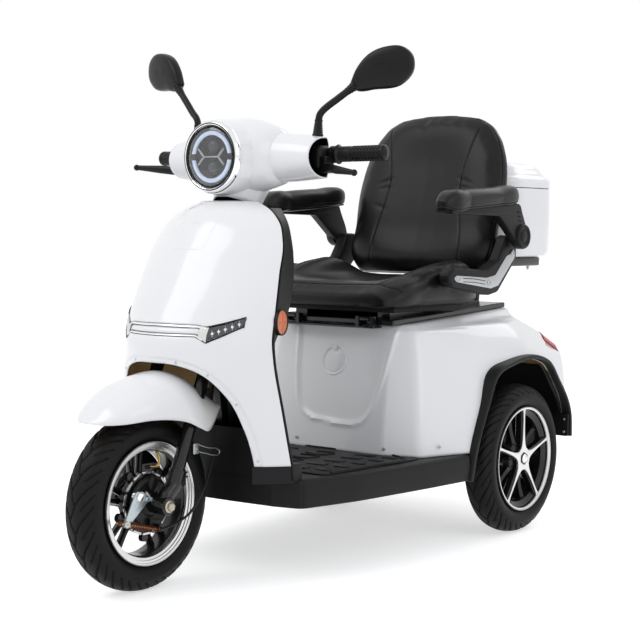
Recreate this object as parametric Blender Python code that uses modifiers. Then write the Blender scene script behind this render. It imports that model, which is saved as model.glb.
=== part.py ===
"""Three-wheeled electric mobility scooter.

Metres, +Z up, the front towards -Y, the rider's left at +X.
The origin is on the ground, under the middle of the scooter's length and width.
"""

import math

import bmesh
import bpy
from mathutils import Matrix, Vector

# Running gear
TYRE_R = 0.200
TYRE_W = 0.088
TYRE_SECTION = 0.060
RIM_R = TYRE_R - TYRE_SECTION
RIM_W = 0.082
TYRE_WALL = 0.010
FRONT_AXLE_Y = -0.6785
WHEELBASE = 1.117
REAR_AXLE_Y = FRONT_AXLE_Y + WHEELBASE
REAR_HALF_TRACK = 0.308
AXLE_R = 0.008
HUB_R = 0.036
SPOKES = 5
SEAT_GAP = 0.0003
RUNNING_GAP = 0.0006
CLEAR = 0.0055

# Steering
CASTER = math.radians(24.5)
STEER_FOOT_Y = -0.655
STEM_R = 0.0160
HEAD_TUBE_R = 0.027
HEAD_TUBE_TOP = 0.840
FORK_HALF = 0.075
FORK_R = 0.016
CROWN_Z = 2 * TYRE_R + 0.112
HEAD_TUBE_BOTTOM = CROWN_Z + 0.048
BAR_Z = 0.985
BAR_R = 0.011
GRIP_START = 0.228
GRIP_END = 0.354
GRIP_R = 0.017

# Body
PANEL = 0.004
DECK_Z = 0.243
MAT_Z = DECK_Z + 0.0025
SKIRT_Z = 0.176
SEAT_DECK_Z = 0.57025
SEAT_DECK_RISE = 0.050
SEAT_DECK_Y = 0.050
ARCH_TRIM = 0.014
ARCH_X_IN = 0.320
ARCH_X_OUT = 0.356

# Seat
LID_HINGE_Y = 0.016
LID_HINGE_Z = 0.586
CUSHION_HALF = 0.250
CUSHION_Z = 0.618
ARM_X = 0.291
ARM_PIVOT_Y = 0.459
ARM_PIVOT_Z = 0.797
ARM_PIVOT_R = 0.034
ARM_FACE = 0.2915

# Top box
BOX_HALF = 0.190
BOX_FRONT = 0.615
BOX_REAR = 0.879
BOX_Z = 0.735
BOX_HEIGHT = 0.200
LID_HEIGHT = 0.073
BOX_SPLIT = BOX_Z + BOX_HEIGHT
BOX_TOP = BOX_SPLIT + LID_HEIGHT
BOX_WALL = 0.004
BOX_R = 0.060

WHITE = ((0.86, 0.86, 0.87), 0.22, 0.0)
BLACK = ((0.03, 0.03, 0.032), 0.50, 0.0)
STEEL_BLACK = ((0.02, 0.02, 0.022), 0.38, 0.3)
SILVER = ((0.72, 0.73, 0.74), 0.28, 0.9)
CHROME = ((0.85, 0.86, 0.88), 0.08, 1.0)
RUBBER = ((0.025, 0.025, 0.027), 0.75, 0.0)
LEATHER = ((0.030, 0.030, 0.033), 0.55, 0.0)
CLEAR_LENS = ((0.80, 0.84, 0.90), 0.05, 0.0)
RED_LENS = ((0.60, 0.02, 0.03), 0.10, 0.0)

MERGE = 0.0001
FLAT_ANGLE = math.radians(0.4)


def collection(name):
    made = bpy.data.collections.new(name)
    bpy.context.scene.collection.children.link(made)
    return made


for old in list(bpy.data.objects):
    bpy.data.objects.remove(old, do_unlink=True)
PARTS = collection("mobility_scooter")
CUTTERS = collection("cutters")


def finish_material(obj, finish):
    colour, roughness, metallic = finish
    mat = bpy.data.materials.new(obj.name)
    mat.use_nodes = True
    shader = mat.node_tree.nodes["Principled BSDF"]
    shader.inputs["Base Color"].default_value = (*colour, 1.0)
    shader.inputs["Roughness"].default_value = roughness
    shader.inputs["Metallic"].default_value = metallic
    obj.data.materials.clear()
    obj.data.materials.append(mat)


def as_object(name, mesh, finish=None):
    """A named part when it has a finish, otherwise a hidden cutter or a piece to be joined."""
    obj = bpy.data.objects.new(name, mesh)
    if finish:
        PARTS.objects.link(obj)
        finish_material(obj, finish)
    else:
        CUTTERS.objects.link(obj)
        obj.hide_render = True
        obj.display_type = "WIRE"
    mesh.shade_smooth()
    mesh.set_sharp_from_angle(angle=math.radians(35))
    return obj


def from_bmesh(name, bm, finish=None):
    mesh = bpy.data.meshes.new(name)
    bm.to_mesh(mesh)
    bm.free()
    return as_object(name, mesh, finish)


def bake(obj):
    """Applies the modifiers and the object's own place, so that its mesh is in world space."""
    graph = bpy.context.evaluated_depsgraph_get()
    graph.update()
    mesh = bpy.data.meshes.new_from_object(obj.evaluated_get(graph))
    mesh.transform(obj.matrix_world)
    bm = bmesh.new()
    bm.from_mesh(mesh)
    bmesh.ops.remove_doubles(bm, verts=bm.verts, dist=0.000002)
    bm.to_mesh(mesh)
    bm.free()
    return mesh


def replace(obj, finish):
    """The same object as a plain mesh in world space."""
    name = obj.name
    mesh = bake(obj)
    bpy.data.objects.remove(obj, do_unlink=True)
    mesh.name = name
    return as_object(name, mesh, finish)


def flat_faces(mesh):
    """Splits the faces into triangles, which are flat wherever a tube or a skin twists."""
    bm = bmesh.new()
    bm.from_mesh(mesh)
    bmesh.ops.triangulate(bm, faces=bm.faces)
    bm.to_mesh(mesh)
    bm.free()


def merge_flat_faces(mesh):
    """Merges neighbouring flat faces where the solid stays closed."""
    bm = bmesh.new()
    bm.from_mesh(mesh)
    bmesh.ops.dissolve_limit(bm, angle_limit=FLAT_ANGLE, verts=bm.verts, edges=bm.edges)
    bmesh.ops.triangulate(bm, faces=bm.faces)
    if all(len(edge.link_faces) == 2 for edge in bm.edges):
        bm.to_mesh(mesh)
    bm.free()


def combine(obj, others, how, finish=None):
    """Joins the others to a solid, or cuts them out of it."""
    for each in (obj, *others):
        flat_faces(each.data)
    for other in others:
        step = obj.modifiers.new(how.lower(), "BOOLEAN")
        step.operation = how
        step.solver = "EXACT"
        step.object = other
    made = replace(obj, finish)
    merge_flat_faces(made.data)
    for other in others:
        bpy.data.objects.remove(other, do_unlink=True)
    return made


def join(obj, others, finish=None):
    return combine(obj, others, "UNION", finish)


def cut(obj, others, finish=None):
    return combine(obj, others, "DIFFERENCE", finish)


def bevelled(obj, width, segments=2, angle=35):
    step = obj.modifiers.new("bevel", "BEVEL")
    step.width = width
    step.segments = segments
    step.limit_method = "ANGLE"
    step.angle_limit = math.radians(angle)
    return obj


def block(name, low, high, finish=None, bevel=0.0, turn=None):
    low, high = Vector(low), Vector(high)
    bm = bmesh.new()
    bmesh.ops.create_cube(bm, size=1.0)
    bmesh.ops.scale(bm, vec=high - low, verts=bm.verts)
    if turn:
        bmesh.ops.rotate(bm, matrix=turn, verts=bm.verts)
    bmesh.ops.translate(bm, vec=(low + high) / 2, verts=bm.verts)
    obj = from_bmesh(name, bm, finish)
    if bevel:
        bevelled(obj, bevel)
    return obj


def rod(name, start, end, radius, finish=None, end_radius=None, sides=20):
    start, end = Vector(start), Vector(end)
    along = end - start
    bm = bmesh.new()
    bmesh.ops.create_cone(
        bm,
        cap_ends=True,
        segments=sides,
        radius1=radius,
        radius2=radius if end_radius is None else end_radius,
        depth=along.length,
    )
    bmesh.ops.rotate(bm, matrix=along.to_track_quat("Z", "Y").to_matrix(), verts=bm.verts)
    bmesh.ops.translate(bm, vec=(start + end) / 2, verts=bm.verts)
    return from_bmesh(name, bm, finish)


def pipe(name, points, radius, finish=None, detail=2):
    """A tube along a poly line, with welded caps."""
    curve = bpy.data.curves.new(name, "CURVE")
    curve.dimensions = "3D"
    curve.bevel_depth = radius
    curve.bevel_resolution = detail
    curve.render_resolution_u = 0
    curve.use_fill_caps = True
    line = curve.splines.new("POLY")
    line.points.add(len(points) - 1)
    for point, place in zip(line.points, points):
        point.co = (*place, 1.0)
    obj = bpy.data.objects.new(name, curve)
    CUTTERS.objects.link(obj)
    made = replace(obj, finish)
    bpy.data.curves.remove(curve)
    return made


def smooth_route(points, steps=4):
    """Points on one smooth curve through a few places."""
    places = [Vector(p) for p in points]
    places = [2 * places[0] - places[1], *places, 2 * places[-1] - places[-2]]
    route = []
    for a, b, c, d in zip(places, places[1:], places[2:], places[3:]):
        for i in range(steps):
            t = i / steps
            route.append(
                0.5 * (2 * b + (c - a) * t + (2 * a - 5 * b + 4 * c - d) * t * t
                       + (3 * b - a - 3 * c + d) * t ** 3)
            )
    return [*route, places[-2]]


def rounded(corners, radius, steps=3):
    """A closed flat outline with each corner eased over the same distance."""
    points = []
    count = len(corners)
    for i, corner in enumerate(corners):
        here = Vector(corner)
        before = Vector(corners[i - 1]) - here
        after = Vector(corners[(i + 1) % count]) - here
        a = here + before * min(0.48, radius / before.length)
        b = here + after * min(0.48, radius / after.length)
        for k in range(steps + 1):
            t = k / steps
            points.append(tuple((1 - t) ** 2 * a + 2 * t * (1 - t) * here + t * t * b))
    return points


def plate(name, outline, low, high, axis, finish=None):
    """A flat outline made solid between two places on an axis.

    Axis X takes (y, z) points, axis Y takes (x, z) points and axis Z takes (x, y) points.
    """
    curve = bpy.data.curves.new(name, "CURVE")
    curve.dimensions = "2D"
    curve.fill_mode = "BOTH"
    curve.extrude = (high - low) / 2
    curve.render_resolution_u = 0
    line = curve.splines.new("POLY")
    line.points.add(len(outline) - 1)
    for point, place in zip(line.points, outline):
        point.co = (place[0], place[1], 0.0, 1.0)
    line.use_cyclic_u = True
    obj = bpy.data.objects.new(name, curve)
    middle = (low + high) / 2
    turns = {
        "X": Matrix(((0, 0, 1, middle), (1, 0, 0, 0), (0, 1, 0, 0), (0, 0, 0, 1))),
        "Y": Matrix(((1, 0, 0, 0), (0, 0, -1, middle), (0, 1, 0, 0), (0, 0, 0, 1))),
        "Z": Matrix.Translation((0, 0, middle)),
    }
    obj.matrix_world = turns[axis]
    CUTTERS.objects.link(obj)
    bpy.context.view_layer.update()
    made = replace(obj, finish)
    bpy.data.curves.remove(curve)
    return made


def loft(name, rings, finish=None, wall=0.0, closed=True):
    """Joins rings of equally many points; a wall makes an open skin solid on its inner side."""
    bm = bmesh.new()
    loops = [[bm.verts.new(p) for p in ring] for ring in rings]
    count = len(loops[0])
    last = count if closed else count - 1
    for low, high in zip(loops, loops[1:]):
        for i in range(last):
            j = (i + 1) % count
            bm.faces.new((low[i], low[j], high[j], high[i]))
    if not wall:
        bm.faces.new(list(reversed(loops[0])))
        bm.faces.new(loops[-1])
    obj = from_bmesh(name, bm, None if wall else finish)
    if wall:
        step = obj.modifiers.new("wall", "SOLIDIFY")
        step.thickness = wall
        step.offset = -1.0
        step.use_even_offset = True
        obj = replace(obj, finish)
    return obj


def turned(name, profile, centre, direction, finish=None, steps=32):
    """A profile of (radius, along) points turned about an axis."""
    mesh = bpy.data.meshes.new(name)
    edges = [(i, (i + 1) % len(profile)) for i in range(len(profile))]
    closed = all(radius > 0 for radius, _ in profile)
    if not closed:
        edges = edges[:-1]
    mesh.from_pydata([(radius, 0.0, along) for radius, along in profile], edges, [])
    obj = bpy.data.objects.new(name, mesh)
    CUTTERS.objects.link(obj)
    step = obj.modifiers.new("screw", "SCREW")
    step.steps = steps
    step.render_steps = steps
    step.use_merge_vertices = True
    step.merge_threshold = MERGE
    obj.matrix_world = Matrix.Translation(centre) @ Vector(direction).to_track_quat("Z", "Y").to_matrix().to_4x4()
    bpy.context.view_layer.update()
    return replace(obj, finish)


def mirrored_outline(half):
    """A full outline from the half on the rider's left, seen from above, anticlockwise."""
    return [*half, *[(-x, y) for x, y in reversed(half)]]


def steering_point(z):
    """The steering axis at a height."""
    return Vector((0.0, STEER_FOOT_Y + (z - TYRE_R) * math.tan(CASTER), z))


STEER_UP = Vector((0.0, math.sin(CASTER), math.cos(CASTER)))
SIDES = (("left", 1.0), ("right", -1.0))


def joint_frame(name, place, children):
    """An empty on a joint's axis that carries the moving pieces."""
    empty = bpy.data.objects.new(name, None)
    empty.location = place
    PARTS.objects.link(empty)
    bpy.context.view_layer.update()
    for child in children:
        child.parent = empty
        child.matrix_parent_inverse = empty.matrix_world.inverted()
    return empty


# Wheels


def tyre(name, x, y):
    """A road tyre with an open bead, its profile run down the outer side."""
    half = TYRE_W / 2
    bead = RIM_R + SEAT_GAP
    shape = [
        (bead, half - 0.012), (RIM_R + 0.012, half - 0.002), (RIM_R + 0.028, half),
        (TYRE_R - 0.018, half - 0.006), (TYRE_R - 0.005, half * 0.58), (TYRE_R, 0.0),
    ]
    outer = shape + [(r, -z) for r, z in reversed(shape[:-1])]
    inner = [(r - TYRE_WALL, z * 0.74) for r, z in reversed(outer[2:-2:2])]
    profile = [*outer, *inner]
    return turned(name, profile, (x, y, TYRE_R), (1, 0, 0), RUBBER, steps=32)


def rim(name, x, y, face, hub_low, hub_high, bore):
    """A cast rim: barrel with lips, hub and spokes in one piece. face is the side the spokes are near."""
    half = RIM_W / 2
    profile = [
        (RIM_R - 0.001, half), (RIM_R, half - 0.002), (RIM_R - 0.001, half - 0.012),
        (RIM_R - 0.018, half - 0.018), (RIM_R - 0.018, -half + 0.018),
        (RIM_R - 0.001, -half + 0.012), (RIM_R, -half + 0.002), (RIM_R - 0.001, -half),
        (RIM_R - 0.010, -half), (RIM_R - 0.024, -half + 0.018),
        (RIM_R - 0.024, half - 0.018), (RIM_R - 0.010, half),
    ]
    barrel = turned(name, profile, (x, y, TYRE_R), (1, 0, 0), steps=32)
    hub = rod("hub", (x + hub_low, y, TYRE_R), (x + hub_high, y, TYRE_R), HUB_R, sides=20)
    spokes = []
    for i in range(SPOKES):
        angle = 2 * math.pi * i / SPOKES
        for lean in (-1, 1):
            root = angle + lean * math.radians(14)
            tip = angle + lean * math.radians(9)
            middle = x + face * 0.012
            start = (middle, y + math.sin(root) * HUB_R * 0.8, TYRE_R + math.cos(root) * HUB_R * 0.8)
            end = (
                middle + face * 0.008,
                y + math.sin(tip) * (RIM_R - 0.020),
                TYRE_R + math.cos(tip) * (RIM_R - 0.020),
            )
            spokes.append(rod("spoke", start, end, 0.010, end_radius=0.007, sides=5))
    wheel = join(barrel, [hub, *spokes])
    hole = rod("bore", (x + hub_low - 0.01, y, TYRE_R), (x + hub_high + 0.01, y, TYRE_R), bore, sides=16)
    return cut(wheel, [hole], STEEL_BLACK)


def front_wheel():
    place = (0.0, FRONT_AXLE_Y, TYRE_R)
    parts = [
        tyre("front_tyre", 0.0, FRONT_AXLE_Y),
        rim("front_rim", 0.0, FRONT_AXLE_Y, -1, -0.034, 0.026, AXLE_R + RUNNING_GAP),
    ]
    joint_frame("front_wheel_axis", place, parts)


def rear_wheels():
    for side, sign in SIDES:
        x = sign * REAR_HALF_TRACK
        low, high = sorted((-sign * 0.030, sign * 0.030))
        parts = [
            tyre("rear_tyre_" + side, x, REAR_AXLE_Y),
            rim("rear_rim_" + side, x, REAR_AXLE_Y, sign, low, high, REAR_STUB_R + RUNNING_GAP),
        ]
        joint_frame("rear_wheel_axis_" + side, (x, REAR_AXLE_Y, TYRE_R), parts)


# Steering group

AXLE_HALF = FORK_HALF + 0.032
LUG_HALF = 0.0200
REAR_STUB_R = 0.012
BRAKE_X = 0.026 + CLEAR
BRAKE_R = 0.060


def fork():
    """Stem, crown, two legs and axle lugs in one piece."""
    foot = Vector((0.0, FRONT_AXLE_Y, TYRE_R))
    crown = steering_point(CROWN_Z)
    pieces = []
    for sign in (1, -1):
        lug = rod(
            "lug", foot + Vector((sign * (FORK_HALF - LUG_HALF), 0, 0)),
            foot + Vector((sign * (FORK_HALF + LUG_HALF), 0, 0)), 0.020, sides=16,
        )
        ankle = foot + Vector((sign * FORK_HALF, 0.006, 0.0))
        knee = steering_point(0.250) + Vector((sign * FORK_HALF, -0.012, 0.0))
        hip = crown + Vector((sign * FORK_HALF, -0.014, 0.012))
        pieces.append(lug)
        pieces.append(pipe("lower_leg", [ankle, knee, steering_point(0.40) + Vector((sign * FORK_HALF, -0.012, 0))], FORK_R + 0.003, detail=2))
        pieces.append(rod("upper_leg", knee, hip, FORK_R - 0.003, sides=14))
    bridge = block("bridge", crown - Vector((FORK_HALF + 0.018, 0.034, 0.010)), crown + Vector((FORK_HALF + 0.018, 0.016, 0.014)), bevel=0.004)
    stem = rod("fork", crown, steering_point(BAR_Z - 0.0193), STEM_R, sides=24)
    bridge = replace(bridge, None)
    made = join(stem, [bridge, *pieces])
    hole = rod("bore", foot - Vector((0.2, 0, 0)), foot + Vector((0.2, 0, 0)), AXLE_R + SEAT_GAP, sides=20)
    return cut(made, [hole], STEEL_BLACK)


def front_axle():
    foot = Vector((0.0, FRONT_AXLE_Y, TYRE_R))
    shaft = rod("front_axle", foot - Vector((AXLE_HALF, 0, 0)), foot + Vector((AXLE_HALF, 0, 0)), AXLE_R, sides=20)
    nuts = [
        rod(
            "nut", foot + Vector((sign * (FORK_HALF + LUG_HALF + SEAT_GAP), 0, 0)),
            foot + Vector((sign * (FORK_HALF + LUG_HALF + 0.009), 0, 0)), 0.013, sides=6,
        )
        for sign in (1, -1)
    ]
    return join(shaft, nuts, SILVER)


def brake_plate():
    """Fixed plate of the drum brake with its torque arm."""
    centre = Vector((BRAKE_X, FRONT_AXLE_Y, TYRE_R))
    disc = rod("brake_plate", centre, centre + Vector((0.010, 0, 0)), BRAKE_R, sides=32)
    boss = rod("boss", centre, centre + Vector((FORK_HALF - LUG_HALF - SEAT_GAP - BRAKE_X, 0, 0)), 0.018, sides=16)
    arm = block("arm", centre + Vector((0.009, -0.062, -0.008)), centre + Vector((0.015, 0.0, 0.008)))
    made = join(disc, [boss, arm])
    hole = rod("bore", centre - Vector((0.05, 0, 0)), centre + Vector((0.08, 0, 0)), AXLE_R + SEAT_GAP, sides=20)
    return cut(made, [hole], STEEL_BLACK)


# Front mudguard, from its nose to its tail.
MUDGUARD_ARCH = (
    # y, crown above the tyre's top, half width, edge above the tyre's top
    (-0.838, -0.003, 0.012, -0.008),
    (-0.822, 0.012, 0.045, -0.010),
    (-0.790, 0.038, 0.072, -0.009),
    (-0.735, 0.068, 0.094, -0.004),
    (-0.680, 0.083, 0.104, -0.007),
    (-0.630, 0.091, 0.108, -0.017),
    (-0.590, 0.086, 0.109, -0.034),
    (-0.560, 0.070, 0.107, -0.042),
    (-0.530, 0.045, 0.102, -0.015),
    (-0.512, 0.022, 0.096, 0.005),
)


def front_mudguard():
    """A thin shell over the front tyre, carried by the fork legs."""
    rings = []
    for y, crown, half, edge in MUDGUARD_ARCH:
        ring = []
        low = 2 * TYRE_R + edge
        for k in range(9):
            angle = math.pi * k / 8
            ring.append((half * math.cos(angle), y, low + (crown - edge) * math.sin(angle) ** 0.8))
        rings.append(ring)
    shell = loft("front_mudguard", rings, wall=0.003, closed=False)
    crown = steering_point(CROWN_Z)
    slot = rod("slot", steering_point(0.40), steering_point(0.60), 0.024, sides=16)
    legs = [
        rod(
            "leg_hole", steering_point(0.25) + Vector((s * FORK_HALF, -0.012, 0)),
            crown + Vector((s * FORK_HALF, -0.014, 0.012)), FORK_R - 0.003 + SEAT_GAP, sides=14,
        )
        for s in (1, -1)
    ]
    return cut(shell, [slot, *legs], WHITE)


# Half width, middle y, middle z, depth and height of the handlebar cover at stations along X.
NACELLE_STATIONS = (
    (-0.220, -0.2865, 0.980, 0.0655, 0.048),
    (-0.150, -0.2935, 0.981, 0.0615, 0.056),
    (-0.110, -0.306, 0.982, 0.070, 0.063),
    (-0.075, -0.322, 0.984, 0.088, 0.080),
    (-0.030, -0.330, 0.986, 0.094, 0.090),
    (0.030, -0.330, 0.986, 0.094, 0.090),
    (0.075, -0.322, 0.984, 0.088, 0.080),
    (0.110, -0.306, 0.982, 0.070, 0.063),
    (0.150, -0.2935, 0.981, 0.0615, 0.056),
    (0.220, -0.2865, 0.980, 0.0655, 0.048),
)
COVER_WALL = 0.0030
LAMP_Y = -0.447
LAMP_Z = 0.980
LAMP_R = 0.083
LENS_R = 0.070


def bar_point(x):
    """Centre line of the handlebar, swept back from the clamp."""
    return Vector((x, -0.285 + 0.055 * abs(x) / GRIP_END, BAR_Z + 0.006 * abs(x) / GRIP_END))


def handlebar():
    clamp = rod("handlebar", steering_point(BAR_Z - 0.019), steering_point(BAR_Z + 0.020), 0.022, sides=20)
    tube = pipe("bar", [bar_point(x) for x in (-GRIP_END + 0.004, 0.0, GRIP_END - 0.004)], BAR_R, detail=3)
    bridge = rod("bridge", steering_point(BAR_Z), bar_point(0.0), 0.014, sides=12)
    return join(clamp, [tube, bridge], STEEL_BLACK)


def cover_ring(row, inset=0.0):
    x, y, z, depth, height = row
    angles = (2 * math.pi * k / 24 for k in range(24))
    return [(x, y + (depth - inset) * math.cos(a), z + (height - inset) * math.sin(a)) for a in angles]


def nacelle():
    """Handlebar cover with the lamp housing in front and a flared neck below."""
    body = loft("nacelle", [cover_ring(row) for row in NACELLE_STATIONS])
    lamp = turned(
        "lamp_cup", [(0.0, 0.10), (LAMP_R - 0.001, 0.10), (LAMP_R + 0.006, 0.03), (LAMP_R, 0.0), (0.0, 0.0)],
        (0, LAMP_Y + 0.016, LAMP_Z), (0, 1, 0), steps=32,
    )
    neck = rod("neck", steering_point(0.868), steering_point(0.945), 0.058, end_radius=0.075, sides=28)
    made = join(body, [lamp, neck])
    hollow = block("hollow", (-0.040, -0.345, 0.930), (0.040, -0.255, 1.040))
    stem = rod("stem_hole", steering_point(0.85), steering_point(0.95), STEM_R + 0.004, sides=20)
    bars = pipe("bar_hole", [bar_point(x) for x in (-0.25, 0.0, 0.25)], BAR_R + SEAT_GAP, detail=3)
    pockets = []
    for end in (NACELLE_STATIONS[0], NACELLE_STATIONS[-1]):
        ring = cover_ring(end, COVER_WALL)
        spans = sorted((end[0] * 0.80, end[0] * 1.05))
        pockets.append(loft("pocket", [[(x, y, z) for _, y, z in ring] for x in spans]))
    return cut(made, [hollow, stem, bars, *pockets], WHITE)


def headlamp():
    bezel = turned(
        "headlamp_bezel",
        [(LAMP_R + 0.001, 0.0155), (LAMP_R - 0.003, 0.003), (LENS_R + 0.004, 0.0), (LENS_R + 0.0015, 0.004), (LENS_R + 0.0015, 0.0155)],
        (0, LAMP_Y, LAMP_Z), (0, 1, 0), CHROME, steps=32,
    )
    lens = turned(
        "headlamp_lens",
        [(0.0, 0.0155), (LENS_R + 0.001, 0.0155), (LENS_R + 0.001, 0.006), (LENS_R - 0.01, 0.001), (0.0, -0.002)],
        (0, LAMP_Y, LAMP_Z), (0, 1, 0), CLEAR_LENS, steps=32,
    )
    return [bezel, lens]


def grip(side, sign):
    start, end = bar_point(sign * GRIP_START), bar_point(sign * GRIP_END)
    sleeve = rod("grip_" + side, start, end, GRIP_R, sides=20)
    flange = rod("flange", start, start + (end - start) * 0.05, GRIP_R + 0.005, sides=20)
    made = join(sleeve, [flange])
    hole = rod("hole", start - (end - start) * 0.1, bar_point(sign * (GRIP_END - 0.0037)), BAR_R + SEAT_GAP, sides=16)
    return cut(made, [hole], RUBBER)


def lever(side, sign):
    """Switch block on the bar with a ball-ended lever in front of the grip."""
    start = bar_point(sign * 0.2110)
    housing = rod("lever_" + side, start, bar_point(sign * (GRIP_START - 0.0005)), 0.0205, sides=16)
    bracket = block(
        "bracket", (min(sign * 0.2085, sign * 0.227), -0.297, 0.943), (max(sign * 0.2085, sign * 0.227), -0.262, 0.984),
    )
    blade = pipe(
        "blade",
        [(sign * 0.214, -0.292, 0.955), (sign * 0.250, -0.290, 0.952), (sign * 0.290, -0.276, 0.946)],
        0.0058, detail=2,
    )
    ball = rod("ball", (sign * 0.284, -0.278, 0.947), (sign * 0.298, -0.273, 0.945), 0.0085, sides=12)
    made = join(housing, [bracket, blade, ball])
    hole = rod("hole", bar_point(sign * 0.19), bar_point(sign * 0.24), BAR_R + SEAT_GAP, sides=20)
    return cut(made, [hole], BLACK)


MIRROR_BASE = Vector((0.191, -0.280, 1.0326))
MIRROR_CENTRE = Vector((0.344, -0.236, 1.196))
MIRROR_TURN = math.radians(16)
# Outline of the mirror's head about its centre: outwards, upwards.
MIRROR_OUTLINE = (
    (-0.078, -0.030), (-0.066, -0.048), (-0.017, -0.048), (0.049, -0.036), (0.074, -0.010),
    (0.070, 0.032), (0.046, 0.050), (0.008, 0.054), (-0.035, 0.044), (-0.062, 0.020),
)
MIRROR_LIFT = {"left": -0.013, "right": 0.014}


def mirror(side, sign):
    """Stem and head of a rear-view mirror in one piece."""
    def out(x, y, z):
        return (sign * x, y, z)

    lift = MIRROR_LIFT[side]
    stem = pipe(
        "mirror_" + side,
        [out(*MIRROR_BASE), out(0.191, -0.277, 1.068), out(0.220, -0.276, 1.097), out(0.290, -0.256, 1.162 + lift)],
        0.0065, detail=2,
    )
    boot = rod("boot", out(*MIRROR_BASE), out(0.191, -0.277, 1.062), 0.014, end_radius=0.0095, sides=14)
    outline = [(sign * x, z) for x, z in rounded(MIRROR_OUTLINE, 0.014, steps=2)]
    head = bevelled(plate("head", outline[:: int(sign)], -0.012, 0.012, "Y"), 0.008)
    place = Vector(out(*MIRROR_CENTRE)) + Vector((0, 0, lift))
    head.matrix_world = Matrix.Translation(place) @ Matrix.Rotation(sign * MIRROR_TURN, 4, "Z")
    return join(stem, [boot, replace(head, None)], BLACK)


def steering_group():
    parts = [fork(), front_axle(), brake_plate(), front_mudguard(), handlebar(), nacelle(), *headlamp()]
    for side, sign in SIDES:
        parts += [grip(side, sign), lever(side, sign), mirror(side, sign)]
    joint_frame("steering_axis", steering_point(TYRE_R), parts)


# Frame and rear axle

RAIL_X = 0.125
RAIL_R = 0.015
RAIL_Z = 0.2225
KICK_Z = 0.345
AXLE_TUBE_R = 0.026
STAND_FOOT = 0.012


def bearer(x):
    """Bar under the seat deck, sloping with it."""
    rings = []
    for y in (0.085, 0.540):
        top = sloping(y, -PANEL - 0.0006)
        rings.append([(x - 0.013, y, top - 0.022), (x - 0.013, y, top), (x + 0.013, y, top), (x + 0.013, y, top - 0.022)])
    return loft("bearer", rings)


def frame():
    """Welded tube frame: head tube, down tube and floor rails."""
    head = rod("frame", steering_point(HEAD_TUBE_BOTTOM), steering_point(HEAD_TUBE_TOP), HEAD_TUBE_R, sides=24)
    joint = steering_point(HEAD_TUBE_BOTTOM + 0.06)
    spine = smooth_route([joint, (0, -0.428, 0.52), (0, -0.408, 0.40), (0, -0.394, 0.27), (0, -0.390, RAIL_Z - 0.004)], 3)
    pieces = [pipe("down_tube", spine, 0.020, detail=3)]
    for sign in (1, -1):
        x = sign * RAIL_X
        pieces.append(pipe("rail", [
            (x, -0.398, RAIL_Z), (x, 0.120, RAIL_Z), (x, 0.270, KICK_Z), (x, 0.650, KICK_Z),
        ], RAIL_R, detail=2))
    pieces.append(block("battery_tray", (-RAIL_X, 0.135, 0.2595), (RAIL_X, 0.245, 0.2677)))
    for y, z in ((-0.388, RAIL_Z), (0.083, RAIL_Z), (0.303, KICK_Z), (0.632, KICK_Z)):
        pieces.append(block("cross", (-RAIL_X, y - 0.0095, z - 0.0085), (RAIL_X, y + 0.0095, z + 0.0085)))
    made = join(head, pieces)
    hole = rod("bore", steering_point(HEAD_TUBE_BOTTOM - 0.02), steering_point(HEAD_TUBE_TOP + 0.02), STEM_R + RUNNING_GAP, sides=24)
    return cut(made, [hole], STEEL_BLACK)


def seat_stand():
    """Posts on the frame's rails with the bearers that the seat deck rests on."""
    pieces = []
    for x in (RAIL_X, -RAIL_X):
        for y, rail_z, top in ((0.098, RAIL_Z, 0.560), (0.525, KICK_Z, 0.580)):
            foot = rail_z + RAIL_R + SEAT_GAP
            pieces.append(block("foot", (x - 0.016, y - STAND_FOOT, foot), (x + 0.016, y + STAND_FOOT, foot + 0.005)))
            pieces.append(rod("post", (x, y, foot + 0.002), (x, y, top), 0.010, sides=12))
        pieces.append(bearer(x))
    for y in (0.110, 0.515):
        top = sloping(y, -PANEL - 0.006)
        pieces.append(block("tie", (-RAIL_X, y - 0.009, top - 0.012), (RAIL_X, y + 0.009, top)))
    first = block("seat_stand", (-RAIL_X, 0.300, sloping(0.300, -0.0215)), (RAIL_X, 0.318, sloping(0.300, -0.0105)))
    return join(first, pieces, STEEL_BLACK)


def rear_axle():
    """Axle tube with the motor and gear housing, stubs that carry the wheels, and two dampers."""
    y = REAR_AXLE_Y
    tube_end = REAR_HALF_TRACK - 0.030 - CLEAR
    tube = rod("rear_axle", (-tube_end, y, TYRE_R), (tube_end, y, TYRE_R), AXLE_TUBE_R, sides=20)
    shaft = rod("shaft", (-REAR_HALF_TRACK - 0.036, y, TYRE_R), (REAR_HALF_TRACK + 0.036, y, TYRE_R), REAR_STUB_R, sides=24)
    casing = rod("casing", (-0.045, y, TYRE_R), (0.035, y, TYRE_R), 0.070, sides=24)
    motor = rod("motor", (0.020, y, TYRE_R), (0.150, y, TYRE_R), 0.058, sides=24)
    pieces = [shaft, casing, motor]
    for sign in (1, -1):
        pieces.append(block("saddle", (sign * 0.185 - 0.014, y - 0.03, 0.19), (sign * 0.185 + 0.014, y + 0.05, 0.245)))
        foot, top = Vector((sign * 0.185, y + 0.030, 0.240)), Vector((sign * 0.185, y + 0.030, KICK_Z + 0.018))
        pieces.append(rod("shock", foot, top, 0.019, sides=16))
        eye = Vector((sign * 0.185, y + 0.030, KICK_Z))
        pieces.append(rod("shock_pin", eye, (sign * (RAIL_X + RAIL_R + SEAT_GAP), y + 0.030, KICK_Z), 0.008, sides=8))
        pieces.append(rod("nut", (sign * (REAR_HALF_TRACK + 0.0303), y, TYRE_R), (sign * (REAR_HALF_TRACK + 0.040), y, TYRE_R), 0.017, sides=6))
    return join(tube, pieces, STEEL_BLACK)


def battery():
    return block("battery_pack", (-0.105, 0.110, 0.268), (0.105, 0.268, 0.490), BLACK)


# Floor and front shields


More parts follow.
